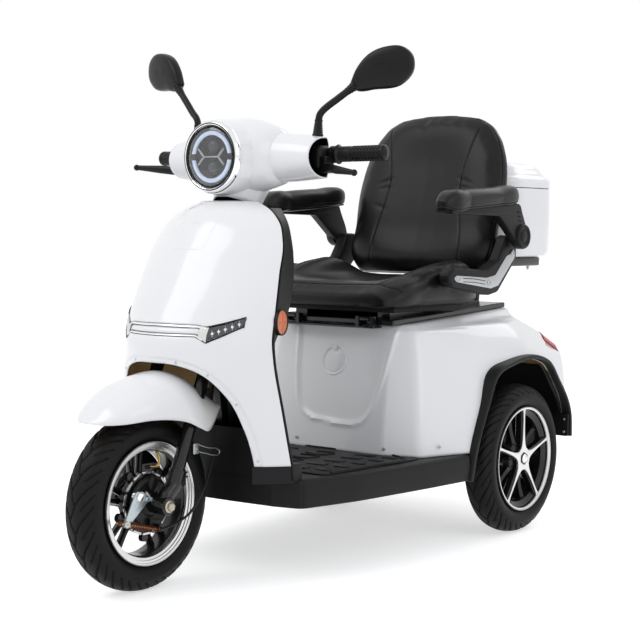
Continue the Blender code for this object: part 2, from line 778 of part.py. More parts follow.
def floor_outline(inset):
    half = [
        (0.060, -0.440 + inset), (0.190, -0.436 + inset), (0.262 - inset, -0.418 + inset * 0.6),
        (0.303 - inset, -0.250), (0.330 - inset, 0.000), (0.334 - inset, 0.168 - inset),
        (0.262 + inset, 0.168 - inset), (0.252 + inset, 0.052 - inset), (0.060, 0.052 - inset),
    ]
    return rounded(mirrored_outline(half), 0.018, steps=2)


# Half of the foot mat, seen from above.
MAT_HALF = ((0.120, -0.336), (0.262, -0.336), (0.292, -0.020), (0.120, -0.020))


def floor_tray():
    """Foot deck with a skirt all round, open below."""
    levels = ((SKIRT_Z, 0.000), (SKIRT_Z + 0.030, 0.001), (DECK_Z - 0.008, 0.003), (DECK_Z, 0.010))
    rings = [[(x, y, z) for x, y in floor_outline(inset)] for z, inset in levels]
    bm = bmesh.new()
    loops = [[bm.verts.new(p) for p in ring] for ring in rings]
    count = len(loops[0])
    for low, high in zip(loops, loops[1:]):
        for i in range(count):
            j = (i + 1) % count
            bm.faces.new((low[i], low[j], high[j], high[i]))
    bm.faces.new(loops[-1])
    shell = from_bmesh("floor_tray", bm)
    step = shell.modifiers.new("wall", "SOLIDIFY")
    step.thickness = 0.005
    step.offset = -1.0
    step.use_even_offset = True
    shell = replace(shell, None)
    mat = plate("mat", rounded(mirrored_outline(MAT_HALF), 0.025, steps=3), DECK_Z - 0.001, MAT_Z, "Z")
    shell = join(shell, [mat])
    spine = block("spine_slot", (-0.030, -0.422, 0.20), (0.030, -0.355, 0.26))
    rails = block("rail_slot", (-0.170, 0.030, 0.150), (0.170, 0.070, DECK_Z - 0.006))
    return cut(shell, [spine, rails], BLACK)


# Height, half width, y of the outer edge and y of the middle of the white front shield.
SHIELD_LEVELS = (
    (0.278, 0.252, -0.446, -0.600),
    (0.400, 0.242, -0.468, -0.622),
    (0.520, 0.230, -0.486, -0.637),
    (0.560, 0.226, -0.486, -0.634),
    (0.620, 0.224, -0.474, -0.606),
    (0.710, 0.213, -0.446, -0.556),
    (0.785, 0.198, -0.416, -0.514),
    (0.835, 0.168, -0.398, -0.480),
    (0.862, 0.128, -0.386, -0.452),
    (0.878, 0.086, -0.376, -0.424),
)
SHIELD_POWER = 2.1
SHIELD_POINTS = 17


def shield_ring(half, edge, middle, z, inset=0.0):
    ring = []
    for k in range(SHIELD_POINTS):
        t = 2 * k / (SHIELD_POINTS - 1) - 1
        x = (half - inset) * math.sin(t * math.pi / 2)
        share = abs(x / (half - inset)) ** SHIELD_POWER
        ring.append((x, middle + (edge - middle) * share, z))
    return ring


def front_shield():
    """White front shield, a curved skin with an arch over the front wheel."""
    rings = [shield_ring(half, edge, middle, z) for z, half, edge, middle in SHIELD_LEVELS]
    shell = loft("front_shield", rings, wall=PANEL, closed=False)
    arch = rounded([
        (0.205, 0.100), (0.185, 0.360), (0.130, 0.478), (0.075, 0.505), (-0.075, 0.505),
        (-0.130, 0.478), (-0.185, 0.360), (-0.205, 0.100),
    ], 0.035, steps=3)
    return cut(shell, [plate("arch", arch, -0.80, -0.30, "Y"), light_bar_solid("window", 0.02, 0.03, SEAT_GAP)], WHITE)


# Half of the light bar across the shield: a level strip that ends in a pointed lamp.
LIGHT_BAR_HALF = (
    # x, low edge, high edge
    (0.0, 0.571, 0.600), (0.100, 0.571, 0.5985), (0.1230, 0.558, 0.5935), (0.150, 0.573, 0.603), (0.1825, 0.5945, 0.6160),
)


def shield_y(x, z):
    """The shield's front surface at a place seen from the front."""
    for low, high in zip(SHIELD_LEVELS, SHIELD_LEVELS[1:]):
        if z <= high[0]:
            break
    share = (z - low[0]) / (high[0] - low[0])
    half, edge, middle = (a + (b - a) * share for a, b in zip(low[1:], high[1:]))
    return middle + (edge - middle) * abs(x / half) ** SHIELD_POWER


def light_bar_solid(name, front, back, grow=0.0, finish=None):
    stations = [(-x, low, high) for x, low, high in reversed(LIGHT_BAR_HALF[1:])] + list(LIGHT_BAR_HALF)
    rings = []
    for i, (x, low, high) in enumerate(stations):
        outward = grow if i == len(stations) - 1 else -grow if i == 0 else 0.0
        low_y, high_y = shield_y(x, low), shield_y(x, high)
        rings.append([
            (x + outward, low_y - front, low - grow), (x + outward, low_y + back, low - grow),
            (x + outward, high_y + back, high + grow), (x + outward, high_y - front, high + grow),
        ])
    return loft(name, rings, finish)


def front_light_bar():
    """Strip with an indicator lamp at each end, set in a window of the shield."""
    return light_bar_solid("front_light_bar", 0.0030, 0.0100, finish=SILVER)


# Height, x and y of the shoulder and y of the back of the black leg panel, level by level with the shield.
LEG_LEVELS = (
    (0.278, 0.188, -0.408, -0.349),
    (0.400, 0.180, -0.424, -0.362),
    (0.520, 0.178, -0.438, -0.354),
    (0.560, 0.190, -0.432, -0.344),
    (0.620, 0.202, -0.404, -0.332),
    (0.710, 0.172, -0.346, -0.312),
    (0.785, 0.146, -0.322, -0.287),
    (0.835, 0.114, -0.302, -0.270),
    (0.862, 0.086, -0.290, -0.263),
)
LEG_EDGE_X = -0.0008
LEG_EDGE_Y = 0.0056


def leg_panel():
    """Black panel behind the front shield, facing the rider's legs."""
    levels = []
    for (z, half, edge, _), (_, shoulder_x, shoulder_y, back) in zip(SHIELD_LEVELS, LEG_LEVELS):
        levels.append((z, half + LEG_EDGE_X, edge + LEG_EDGE_Y, shoulder_x, shoulder_y, back))
    levels.insert(0, (0.2434, *levels[0][1:]))
    rings = []
    for z, half, edge, shoulder_x, shoulder_y, back in levels:
        side = [(half, edge), (shoulder_x + 0.012, shoulder_y - 0.010), (shoulder_x, shoulder_y),
                (shoulder_x * 0.75, (shoulder_y + 2 * back) / 3), (shoulder_x * 0.30, back)]
        ring = [(x, y, z) for x, y in side]
        rings.append([*ring, (0.0, back, z), *[(-x, y, z) for x, y, z in reversed(ring)]])
    return loft("leg_panel", rings, BLACK, wall=0.0035, closed=False)


# Half of the front apron, seen from above.
APRON_HALF = (
    (0.0, -0.4530), (0.080, -0.4510), (0.150, -0.4455), (0.190, -0.4403), (0.226, -0.4313), (0.262, -0.4223),
)


def apron_sheet(name, half, low, high, shift=0.0):
    line = [*[(-x, y) for x, y in reversed(half)], *half[1:]]
    return loft(name, [[(x, y + shift, z) for x, y in line] for z in (low, high)], wall=0.0035, closed=False)


def front_apron():
    """Black splash wall in front of the foot deck, behind the front wheel."""
    lower = apron_sheet("front_apron", APRON_HALF, 0.1785, 0.2400)
    upper = apron_sheet("upper", APRON_HALF[:3], 0.2300, 0.352, 0.0008)
    return join(lower, [upper], BLACK)


# Rear body, seen from above: the front corner, flank, arch and tail at several heights.
BODY_LEVELS = (
    # z front, z rear, front y, front x, corner x, corner y, flank x, flank y, arch x, arch y, tail x, tail y, mid y
    (0.2442, 0.2442, -0.012, 0.190, 0.285, 0.026, 0.326, 0.190, 0.342, 0.600, 0.320, 0.708, 0.712),
    (0.360, 0.360, 0.008, 0.186, 0.268, 0.045, 0.316, 0.210, 0.346, 0.560, 0.322, 0.724, 0.730),
    (0.455, 0.455, 0.026, 0.182, 0.254, 0.062, 0.300, 0.225, 0.346, 0.480, 0.312, 0.718, 0.726),
    (0.495, 0.490, 0.034, 0.180, 0.248, 0.070, 0.288, 0.235, 0.334, 0.470, 0.300, 0.700, 0.714),
    (0.528, 0.530, 0.040, 0.178, 0.242, 0.078, 0.272, 0.245, 0.312, 0.460, 0.288, 0.622, 0.688),
    (0.550, 0.562, 0.045, 0.176, 0.234, 0.084, 0.254, 0.250, 0.276, 0.450, 0.258, 0.566, 0.664),
    (0.560, 0.577, 0.048, 0.172, 0.224, 0.088, 0.236, 0.255, 0.238, 0.450, 0.226, 0.572, 0.650),
    (0.5688, 0.5943, 0.053, 0.166, 0.212, 0.094, 0.216, 0.260, 0.214, 0.450, 0.206, 0.586, 0.622),
    (0.5711, 0.5966, 0.066, 0.150, 0.196, 0.108, 0.200, 0.260, 0.198, 0.450, 0.190, 0.576, 0.606),
    (0.5730, 0.59425, 0.105, 0.110, 0.140, 0.140, 0.145, 0.260, 0.145, 0.450, 0.140, 0.530, 0.545),
)
# The rear arch, in tyre radii behind the axle and above the ground.
ARCH_OUTLINE = (
    (-1.3375, 0.860), (-1.2325, 1.240), (-0.9625, 1.800), (-0.7425, 2.160), (-0.3425, 2.280),
    (0.3075, 2.310), (0.5875, 2.220), (0.8075, 2.000), (1.1775, 1.495), (1.1975, 1.180),
)


def round_tyre(behind, above):
    """A place given in tyre radii from where the rear tyre stands."""
    return REAR_AXLE_Y + behind * TYRE_R, above * TYRE_R


def arch_line():
    return [round_tyre(*place) for place in ARCH_OUTLINE]


def body_ring(row):
    z_front, z_rear, front_y, front_x, corner_x, corner_y, flank_x, flank_y, arch_x, arch_y, tail_x, tail_y, middle_y = row
    half = [
        (front_x, front_y), (corner_x, corner_y), (flank_x, flank_y), (arch_x, arch_y),
        (tail_x, tail_y), (tail_x * 0.5, middle_y),
    ]
    outline = rounded(mirrored_outline(half), 0.030, steps=2)
    ring = []
    for x, y in outline:
        share = min(1.0, max(0.0, (y - front_y) / (tail_y - front_y)))
        ring.append((x, y, z_front + (z_rear - z_front) * share))
    return ring


def offset_outline(outline, distance):
    """Moves each point of an open outline outwards from the middle of the arch."""
    points = [Vector(p) for p in outline]
    moved = []
    for i, here in enumerate(points):
        before = points[max(i - 1, 0)]
        after = points[min(i + 1, len(points) - 1)]
        along = (after - before).normalized()
        moved.append(tuple(here + Vector((-along.y, along.x)) * distance))
    return moved


def rear_body():
    """White rear body, one skin from the floor to the seat, open below and at both wheel arches."""
    shell = loft("rear_body", [body_ring(row) for row in BODY_LEVELS], wall=PANEL)
    edge = offset_outline(arch_line(), SEAT_GAP)
    opening = [(edge[0][0] - 0.01, 0.0), *edge, (edge[-1][0], 0.0)]
    lamps = [lamp_block("lamp_hole", sign, SEAT_GAP) for _, sign in SIDES]
    return cut(shell, [plate("arch", opening, -0.5, 0.5, "X"), *lamps], WHITE)


def arch_trims():
    """Black lip round each rear wheel arch with a mud flap behind the wheel."""
    made = []
    outline = [*arch_line(), *reversed(offset_outline(arch_line(), -ARCH_TRIM))]
    for side, sign in SIDES:
        a, b = sorted((sign * ARCH_X_IN, sign * ARCH_X_OUT))
        lip = plate("arch_trim_" + side, outline, a, b, "X")
        c, d = sorted((sign * 0.262, sign * (ARCH_X_OUT - 0.002)))
        (near, bottom), (far, top) = round_tyre(1.135, 1.1825), round_tyre(1.165, 1.46)
        flap = block("flap", (c, near, bottom), (d, far, top))
        made.append(join(lip, [flap], BLACK))
    return made


LAMP_TILT = Matrix.Rotation(math.radians(-27), 3, "X")
LAMP_LOW = Vector((0.218, 0.622, 0.487))
LAMP_HIGH = Vector((0.330, 0.708, 0.540))
LAMP_PROUD = 0.0020


def lamp_block(name, sign, grow=0.0):
    low, high = LAMP_LOW - Vector((grow, grow, grow)), LAMP_HIGH + Vector((grow, grow, grow))
    xs = sorted((sign * low.x, sign * high.x))
    return block(name, (xs[0], low.y, low.z), (xs[1], high.y, high.z), turn=LAMP_TILT)


def tail_lamps():
    """Red lamps at the rear corners that follow the body's skin, a little proud of it."""
    made = []
    for side, sign in SIDES:
        skin = loft("skin", [body_ring(row) for row in BODY_LEVELS])
        bm = bmesh.new()
        bm.from_mesh(skin.data)
        bm.normal_update()
        for vert in bm.verts:
            vert.co += vert.normal * LAMP_PROUD
        bm.to_mesh(skin.data)
        bm.free()
        made.append(combine(lamp_block("tail_lamp_" + side, sign), [skin], "INTERSECT", RED_LENS))
    return made


# Seat group


def sloping(y, lift):
    """Height of the seat deck at a place, with a lift above it."""
    return SEAT_DECK_Z + SEAT_DECK_RISE * (y - SEAT_DECK_Y) + lift


def seat_plate():
    """Hinged lid under the seat, with a stiffening rim."""
    front, rear = 0.028, 0.575
    turn = Matrix.Rotation(math.atan(SEAT_DECK_RISE), 3, "X")
    middle = (front + rear) / 2
    z = sloping(middle, 0.0078)
    lid = block("seat_plate", (-0.198, front, z - 0.007), (0.198, rear, z + 0.007), bevel=0.003, turn=turn)
    knuckles = [
        rod("knuckle", (x - 0.014, LID_HINGE_Y, LID_HINGE_Z), (x + 0.014, LID_HINGE_Y, LID_HINGE_Z), 0.007, sides=12)
        for x in (-0.12, 0.12)
    ]
    tabs = [
        block("tab", (x - 0.012, LID_HINGE_Y, LID_HINGE_Z - 0.003), (x + 0.012, front + 0.02, LID_HINGE_Z + 0.003))
        for x in (-0.12, 0.12)
    ]
    made = join(replace(lid, None), [*knuckles, *tabs])
    holes = [
        rod("pin_hole", (x - 0.05, LID_HINGE_Y, LID_HINGE_Z), (x + 0.05, LID_HINGE_Y, LID_HINGE_Z), 0.0036, sides=12)
        for x in (-0.12, 0.12)
    ]
    return cut(made, holes, STEEL_BLACK)


def lid_hinge():
    """Hinge pins on a strip fixed to the front of the body's deck."""
    strip = block("lid_hinge", (-0.1475, LID_HINGE_Y - 0.007, 0.5625), (0.1475, 0.0489, 0.5665))
    pieces = []
    for x in (-0.12, 0.12):
        pieces.append(rod("pin", (x - 0.030, LID_HINGE_Y, LID_HINGE_Z), (x + 0.030, LID_HINGE_Y, LID_HINGE_Z), 0.003, sides=12))
        for s in (-1, 1):
            pieces.append(block(
                "ear", (x + s * 0.0225 - 0.005, LID_HINGE_Y - 0.0065, 0.5655),
                (x + s * 0.0225 + 0.005, LID_HINGE_Y + 0.0065, LID_HINGE_Z + 0.006),
            ))
    return join(strip, pieces, STEEL_BLACK)


def seat_runners():
    """Two rails and a cross plate that carry the cushion."""
    def rail(name, x):
        rings = []
        for y in (0.075, 0.500):
            low = sloping(y, 0.0151)
            rings.append([(x - 0.019, y, low), (x + 0.019, y, low), (x + 0.019, y, CUSHION_Z - SEAT_GAP), (x - 0.019, y, CUSHION_Z - SEAT_GAP)])
        return loft(name, [ring[::-1] for ring in rings])

    left, right = rail("seat_runners", 0.135), rail("rail", -0.135)
    bridge = block("bridge", (-0.14, 0.200, 0.606), (0.14, 0.300, CUSHION_Z - SEAT_GAP))
    return join(left, [right, bridge], STEEL_BLACK)


# Cushion stations: y, half width, height of the sides and height of the middle.
CUSHION_STATIONS = (
    (-0.028, 0.215, 0.655, 0.652),
    (0.010, 0.240, 0.678, 0.674),
    (0.100, 0.248, 0.704, 0.676),
    (0.220, 0.250, 0.730, 0.680),
    (0.330, 0.248, 0.730, 0.688),
    (0.375, 0.235, 0.705, 0.690),
)


def seat_cushion():
    rings = []
    for y, half, side, middle in CUSHION_STATIONS:
        rings.append([
            (-half + 0.02, y, CUSHION_Z), (half - 0.02, y, CUSHION_Z), (half, y, CUSHION_Z + 0.022),
            (half - 0.006, y, side - 0.014), (half - 0.045, y, side), (half - 0.110, y, (side + 2 * middle) / 3),
            (0.0, y, middle), (-half + 0.110, y, (side + 2 * middle) / 3), (-half + 0.045, y, side),
            (-half + 0.006, y, side - 0.014), (-half, y, CUSHION_Z + 0.022),
        ][::-1])
    return loft("seat_cushion", rings, LEATHER)


BACK_TILT = math.radians(15)
BACK_FOOT = Vector((0.0, 0.392, 0.700))
BACK_THICK = 0.082
# Back stations: height up the back, half width, thickness.
BACK_STATIONS = (
    (0.000, 0.190, 0.050), (0.030, 0.236, 0.074), (0.140, 0.246, 0.082), (0.270, 0.240, 0.082),
    (0.360, 0.214, 0.078), (0.420, 0.170, 0.068), (0.455, 0.110, 0.040),
)


def seat_back():
    up = Vector((0, math.sin(BACK_TILT), math.cos(BACK_TILT)))
    behind = Vector((0, math.cos(BACK_TILT), -math.sin(BACK_TILT)))
    rings = []
    for along, half, thick in BACK_STATIONS:
        centre = BACK_FOOT + up * along + behind * (BACK_THICK / 2)
        outline = rounded([(-half, -thick / 2), (half, -thick / 2), (half, thick / 2), (-half, thick / 2)], 0.030, steps=2)
        rings.append([tuple(centre + Vector((x, 0, 0)) + behind * d) for x, d in outline])
    return loft("seat_back", rings, LEATHER)


BRACKET_OUTLINE = (
    # y, z
    (0.150, 0.700), (0.176, 0.718), (0.330, 0.708), (0.392, 0.735), (0.420, 0.775), (0.432, 0.800),
    (0.486, 0.800), (0.486, 0.735), (0.392, 0.648), (0.350, 0.641), (0.172, 0.668), (0.150, 0.682),
)


def seat_brackets():
    """L-shaped side brackets from the cushion up to the arm pivots."""
    made = []
    for side, sign in SIDES:
        a, b = sorted((sign * (CUSHION_HALF + 0.0005), sign * 0.286))
        outline = rounded(BRACKET_OUTLINE, 0.012, steps=2)
        arm = plate("seat_bracket_" + side, outline, a, b, "X")
        inner = rod("inner_boss", (sign * 0.2432, 0.452, 0.772), (sign * 0.262, 0.452, 0.772), 0.020, sides=18)
        outer = rod("outer_boss", (sign * 0.280, ARM_PIVOT_Y, ARM_PIVOT_Z), (sign * ARM_FACE, ARM_PIVOT_Y, ARM_PIVOT_Z), 0.022, sides=24)
        drop = block("drop", (min(sign * 0.2505, sign * 0.2565), 0.240, 0.612), (max(sign * 0.2505, sign * 0.2565), 0.300, 0.672))
        strap = block("strap", (min(sign * 0.1543, sign * 0.2565), 0.240, 0.612), (max(sign * 0.1543, sign * 0.2565), 0.300, 0.6177))
        made.append(join(arm, [inner, outer, drop, strap], BLACK))
    return made


ARM_OUTLINE = (
    # y, z
    (0.112, 0.8600), (0.340, 0.8560), (0.420, 0.792), (0.459, 0.763), (0.492, 0.790), (0.480, 0.822),
    (0.458, 0.860), (0.446, 0.8925), (0.340, 0.8855), (0.200, 0.8755), (0.112, 0.8685),
)
# Arm pad stations: y, underside, top and half width.
PAD_STATIONS = (
    (0.098, 0.8740, 0.884, 0.018), (0.112, 0.8700, 0.894, 0.027), (0.200, 0.8765, 0.909, 0.032),
    (0.340, 0.8865, 0.924, 0.031), (0.430, 0.8935, 0.931, 0.029), (0.448, 0.8960, 0.926, 0.023),
)


def arm_pad(side, sign):
    rings = []
    for y, low, high, half in PAD_STATIONS:
        outline = rounded([(-half, low), (half, low), (half, high), (-half, high)], 0.010, steps=2)
        rings.append([(sign * ARM_X + x, y, z) for x, z in outline[::-1]])
    return loft("armpad_" + side, rings, LEATHER)


def armrests():
    made = {}
    for side, sign in SIDES:
        a, b = sorted((sign * (ARM_FACE + RUNNING_GAP), sign * 0.318))
        support = plate("armrest_" + side, rounded(ARM_OUTLINE, 0.010, steps=2), a, b, "X")
        hub = rod("hub", (sign * 0.300, ARM_PIVOT_Y, ARM_PIVOT_Z), (sign * 0.326, ARM_PIVOT_Y, ARM_PIVOT_Z), ARM_PIVOT_R, sides=28)
        made[side] = [join(support, [hub], BLACK), arm_pad(side, sign)]
    return made


def seat_group():
    fixed = [seat_plate(), seat_runners(), seat_cushion(), seat_back(), *seat_brackets()]
    hinge = joint_frame("seat_hinge", (0, LID_HINGE_Y, LID_HINGE_Z), fixed)
    for side, parts in armrests().items():
        sign = dict(SIDES)[side]
        pivot = joint_frame("arm_pivot_" + side, (sign * ARM_X, ARM_PIVOT_Y, ARM_PIVOT_Z), parts)
        pivot.parent = hinge
        pivot.matrix_parent_inverse = hinge.matrix_world.inverted()


# Top box group

LID_AXIS = (0.0, BOX_FRONT - 0.006, BOX_SPLIT)


def box_outline(inset):
    half = BOX_HALF - inset
    return rounded([
        (-half, BOX_FRONT + inset), (half, BOX_FRONT + inset), (half, BOX_REAR - inset), (-half, BOX_REAR - inset),
    ], BOX_R, steps=3)


def top_box():
    rings = [
        [(x, y, z) for x, y in box_outline(inset)]
        for z, inset in ((BOX_Z, 0.012), (BOX_Z + 0.012, 0.002), (BOX_SPLIT, 0.0))
    ]
    outer = loft("top_box", rings)
    inside = loft("inside", [
        [(x, y, z) for x, y in box_outline(inset)]
        for z, inset in ((BOX_Z + BOX_WALL, 0.016), (BOX_Z + 0.016, 0.002 + BOX_WALL), (BOX_SPLIT + 0.01, BOX_WALL))
    ])
    box = cut(outer, [inside])
    return join(box, hinge_leaves((-0.018, -0.006), -1), WHITE)


def hinge_leaves(span, up):
    """Two knuckles on the lid's hinge line with leaves to the wall below (up -1) or above it (up 1)."""
    _, y, z = LID_AXIS
    made = []
    for s in (-1, 1):
        a, b = s * 0.10 + span[0], s * 0.10 + span[1]
        made.append(rod("knuckle", (a, y, z), (b, y, z), 0.005, sides=12))
        low, high = sorted((z + up * 0.0018, z + up * 0.014))
        made.append(block("leaf", (a + 0.0004, y - 0.004, low), (b - 0.0004, BOX_FRONT + 0.002, high)))
        low, high = sorted((z, z + up * 0.003))
        made.append(block("web", (a + 0.0008, y - 0.0035, low), (b - 0.0008, y + 0.0035, high)))
    return made


# Share of the lid's height and inset of the lid's outer skin.
LID_LEVELS = ((0.008, 0.0), (0.315, 0.001), (0.452, 0.012), (0.685, 0.024), (0.863, 0.034), (1.0, 0.060))


def top_box_lid():
    levels = [(BOX_SPLIT + share * LID_HEIGHT, inset) for share, inset in LID_LEVELS]
    outer = loft("top_box_lid", [[(x, y, z) for x, y in box_outline(inset)] for z, inset in levels])
    inner = [(z - BOX_WALL * 0.8, inset + BOX_WALL) for z, inset in levels[1:-1]]
    inner = [(BOX_SPLIT - 0.01, BOX_WALL), *inner, (BOX_TOP - BOX_WALL, LID_LEVELS[-1][1] - 0.004)]
    inside = loft("inside", [[(x, y, z) for x, y in box_outline(inset)] for z, inset in inner])
    lid = cut(outer, [inside])
    return join(lid, hinge_leaves((-0.0054, 0.012), 1), WHITE)


def box_rack():
    """Flat carrier under the box with two bent tubes down to the body."""
    deck = block("box_rack", (-0.150, 0.640, 0.708), (0.150, BOX_REAR - 0.017, BOX_Z - SEAT_GAP), bevel=0.005)
    tubes = [
        pipe("leg", [(s * 0.090, 0.594, 0.601), (s * 0.090, 0.604, 0.660), (s * 0.090, 0.662, 0.727)], 0.009, detail=2)
        for s in (-1, 1)
    ]
    feet = [
        block("foot", (s * 0.090 - 0.022, 0.5785, 0.5970), (s * 0.090 + 0.022, 0.608, 0.6030)) for s in (-1, 1)
    ]
    return join(replace(deck, None), [*tubes, *feet], STEEL_BLACK)


def build():
    front_wheel()
    rear_wheels()
    steering_group()
    frame()
    seat_stand()
    rear_axle()
    battery()
    floor_tray()
    front_shield()
    front_light_bar()
    leg_panel()
    front_apron()
    rear_body()
    arch_trims()
    tail_lamps()
    lid_hinge()
    seat_group()
    top_box()
    box_rack()
    joint_frame("box_lid_hinge", LID_AXIS, [top_box_lid()])


build()
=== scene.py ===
"""Three-wheeled electric mobility scooter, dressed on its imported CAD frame."""
import math

import bmesh
import bpy
import numpy as np
from mathutils import Matrix, Vector
from mathutils.bvhtree import BVHTree


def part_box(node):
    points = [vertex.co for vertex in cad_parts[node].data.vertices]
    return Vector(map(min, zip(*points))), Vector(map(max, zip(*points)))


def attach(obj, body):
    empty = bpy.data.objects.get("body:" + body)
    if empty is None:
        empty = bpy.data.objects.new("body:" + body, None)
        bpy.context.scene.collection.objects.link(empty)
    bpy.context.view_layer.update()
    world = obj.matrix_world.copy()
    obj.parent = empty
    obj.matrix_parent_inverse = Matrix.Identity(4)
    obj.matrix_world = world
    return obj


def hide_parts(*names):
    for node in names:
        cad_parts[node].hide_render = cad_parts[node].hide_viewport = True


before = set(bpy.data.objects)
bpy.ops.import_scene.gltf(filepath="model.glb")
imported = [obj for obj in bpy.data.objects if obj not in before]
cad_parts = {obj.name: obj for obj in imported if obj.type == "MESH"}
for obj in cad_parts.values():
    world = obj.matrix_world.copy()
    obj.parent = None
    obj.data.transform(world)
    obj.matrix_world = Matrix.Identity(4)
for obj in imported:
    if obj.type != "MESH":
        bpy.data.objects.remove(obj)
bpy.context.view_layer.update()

bl_info = {
    "name": "Mobility scooter",
    "version": (1, 0, 0),
    "blender": (4, 5, 0),
    "location": "View3D > Sidebar > Scooter",
    "description": "Body shells, wheels, seat, lamps and finishes of a three-wheeled mobility scooter",
    "category": "Object",
}

SIDES = (("left", 1.0), ("right", -1.0))
TYRE_LOW, TYRE_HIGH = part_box("front_tyre")
TYRE_R = (TYRE_HIGH.z - TYRE_LOW.z) / 2
TYRE_HALF = (TYRE_HIGH.x - TYRE_LOW.x) / 2
FRONT_AXLE = Vector((0.0, (TYRE_LOW.y + TYRE_HIGH.y) / 2, TYRE_R))
REAR_LOW, REAR_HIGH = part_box("rear_tyre_left")
REAR_AXLE = (REAR_LOW + REAR_HIGH) / 2
RIM_R = 0.140
RIM_HALF = 0.041
CASTER = math.radians(24.5)
STEER_UP = Vector((0.0, math.sin(CASTER), math.cos(CASTER)))
LAMP = Vector((0.0, -0.447, 0.980))
STEER_FOOT_Y = -0.655
NECK_Z = 0.866
MAT_LOW, MAT_TOP = 0.2430, 0.2462
# How far the body's skin stands back below the tail lamps, and how softly that ends.
LAMP_SET_BACK, LAMP_FALL = 0.0045, 0.004
# The shells are bare tan inside above TAN_LOW: the leg panel up to TAN_TOP, the rear body behind TAN_FRONT. The rear
# body's other inner faces are matt black, painted shade inside the shell.
TAN_LOW, TAN_TOP, TAN_FRONT = 0.43, 0.62, 0.42
# Points closer than this are one.
MERGE = 1e-6


# Sizes and colours that a user would change


def color_setting(name, description, default):
    """A colour that a user picks."""
    return bpy.props.FloatVectorProperty(
        name=name, description=description, subtype="COLOR", size=3, min=0, max=1, default=default)


def length_setting(name, description, default):
    """A length that a user sets."""
    return bpy.props.FloatProperty(
        name=name, description=description, subtype="DISTANCE", unit="LENGTH", default=default)


class ScooterFinishes(bpy.types.PropertyGroup):
    """Colours of the scooter's finishes."""

    body: color_setting("Body", "Paint of the shells", (0.85, 0.85, 0.86))
    plastic: color_setting("Plastic", "Moulded black plastic", (0.0075, 0.0075, 0.0082))
    leather: color_setting("Seat cover", "Leatherette of the seat", (0.0042, 0.0042, 0.0048))
    rubber: color_setting("Rubber", "Tyre rubber", (0.0062, 0.0062, 0.0066))
    lining: color_setting("Lining", "Unpainted inner faces of the shells", (0.52, 0.34, 0.15))


class ScooterSizes(bpy.types.PropertyGroup):
    """Sizes of the scooter's detail."""

    wall: length_setting("Shell wall", "Thickness of the painted shells", 0.0035)
    tread: length_setting("Tread depth", "Depth of the tyre grooves", 0.0036)
    puff: length_setting("Seat swell", "Furthest that the seat cover swells", 0.0055)
    voxel: length_setting("Seat mesh", "Mesh size of the seat cover before it swells", 0.006)


class ScooterStudio(bpy.types.PropertyGroup):
    """Lamps, floor and camera."""

    key: bpy.props.FloatProperty(name="Key lamp", description="Power of the large lamp", unit="POWER", default=62.0)
    fill: bpy.props.FloatProperty(name="Fill lamp", description="Power of the side lamp", unit="POWER", default=24.0)
    sky: bpy.props.FloatProperty(name="Surroundings", description="Strength of the even light", default=0.78)
    lens: bpy.props.FloatProperty(name="Lens", description="Focal length on a 36 mm sensor", unit="CAMERA",
                                  default=83.72)


GROUPS = {"scooter_finishes": ScooterFinishes, "scooter_sizes": ScooterSizes, "scooter_studio": ScooterStudio}


# Shader maths


def _maths(operation, swapped=False):
    def act(self, other):
        pair = (other, self) if swapped else (self, other)
        return self.finish.node("ShaderNodeMath", {"operation": operation}, dict(enumerate(pair)))
    return act


class Field:
    """A socket of a finish, so that shader maths reads as plain expressions."""

    def __init__(self, finish, socket):
        self.finish, self.socket = finish, socket

    __add__ = __radd__ = _maths("ADD")
    __mul__ = __rmul__ = _maths("MULTIPLY")
    __sub__ = _maths("SUBTRACT")
    __rsub__ = _maths("SUBTRACT", True)


class Finish:
    """A material on a Principled shader, with its nodes."""

    def __init__(self, name, **sockets):
        self.material = bpy.data.materials.new(name)
        self.material.use_nodes = True
        self.tree = self.material.node_tree
        self.shader = self.tree.nodes["Principled BSDF"]
        self.put(**sockets)

    def put(self, **sockets):
        for key, value in sockets.items():
            self._feed(self.shader.inputs[key.replace("_", " ").title().replace("Ior", "IOR")], value)
        return self

    def _feed(self, socket, value):
        if isinstance(value, Field):
            self.tree.links.new(value.socket, socket)
        elif hasattr(socket, "default_value"):
            if socket.type == "RGBA" and len(value) == 3:
                value = (*value, 1.0)
            socket.default_value = value

    def node(self, kind, settings=None, inputs=None, output=0):
        """One node: its settings are set first, then the values or links of its sockets."""
        node = self.tree.nodes.new(kind)
        for key, value in (settings or {}).items():
            if key == "stops":
                ramp = node.color_ramp
                while len(ramp.elements) < len(value):
                    ramp.elements.new(0.5)
                for element, (place, tone) in zip(ramp.elements, value):
                    element.position = place
                    element.color = (*tone, 1.0) if isinstance(tone, tuple) else (tone, tone, tone, 1.0)
            else:
                setattr(node, key, value)
        for key, value in (inputs or {}).items():
            self._feed(node.inputs[key], value)
        return Field(self, node.outputs[output])

    def place(self, name="Object"):
        return self.node("ShaderNodeTexCoord", output=name)

    def stretched(self, scale):
        return self.node("ShaderNodeMapping", None, {"Vector": self.place(), "Scale": scale})

    def noise(self, scale, detail=3.0, vector=None):
        return self.node("ShaderNodeTexNoise", None,
                         {"Vector": vector or self.place(), "Scale": scale, "Detail": detail})

    def cells(self, scale, feature="F1"):
        return self.node("ShaderNodeTexVoronoi", {"feature": feature}, {"Vector": self.place(), "Scale": scale})

    def tint(self, factor, low, high):
        """A colour between two, by a factor."""
        return self.node(
            "ShaderNodeMix", {"data_type": "RGBA"}, {0: factor, 6: low, 7: high}, output=2)

    def bump(self, height, strength, depth):
        return self.node("ShaderNodeBump", None, {"Height": height, "Strength": strength, "Distance": depth})


FINISHES = {}


def tone(color, by):
    return tuple(min(1.0, c * by) for c in color)


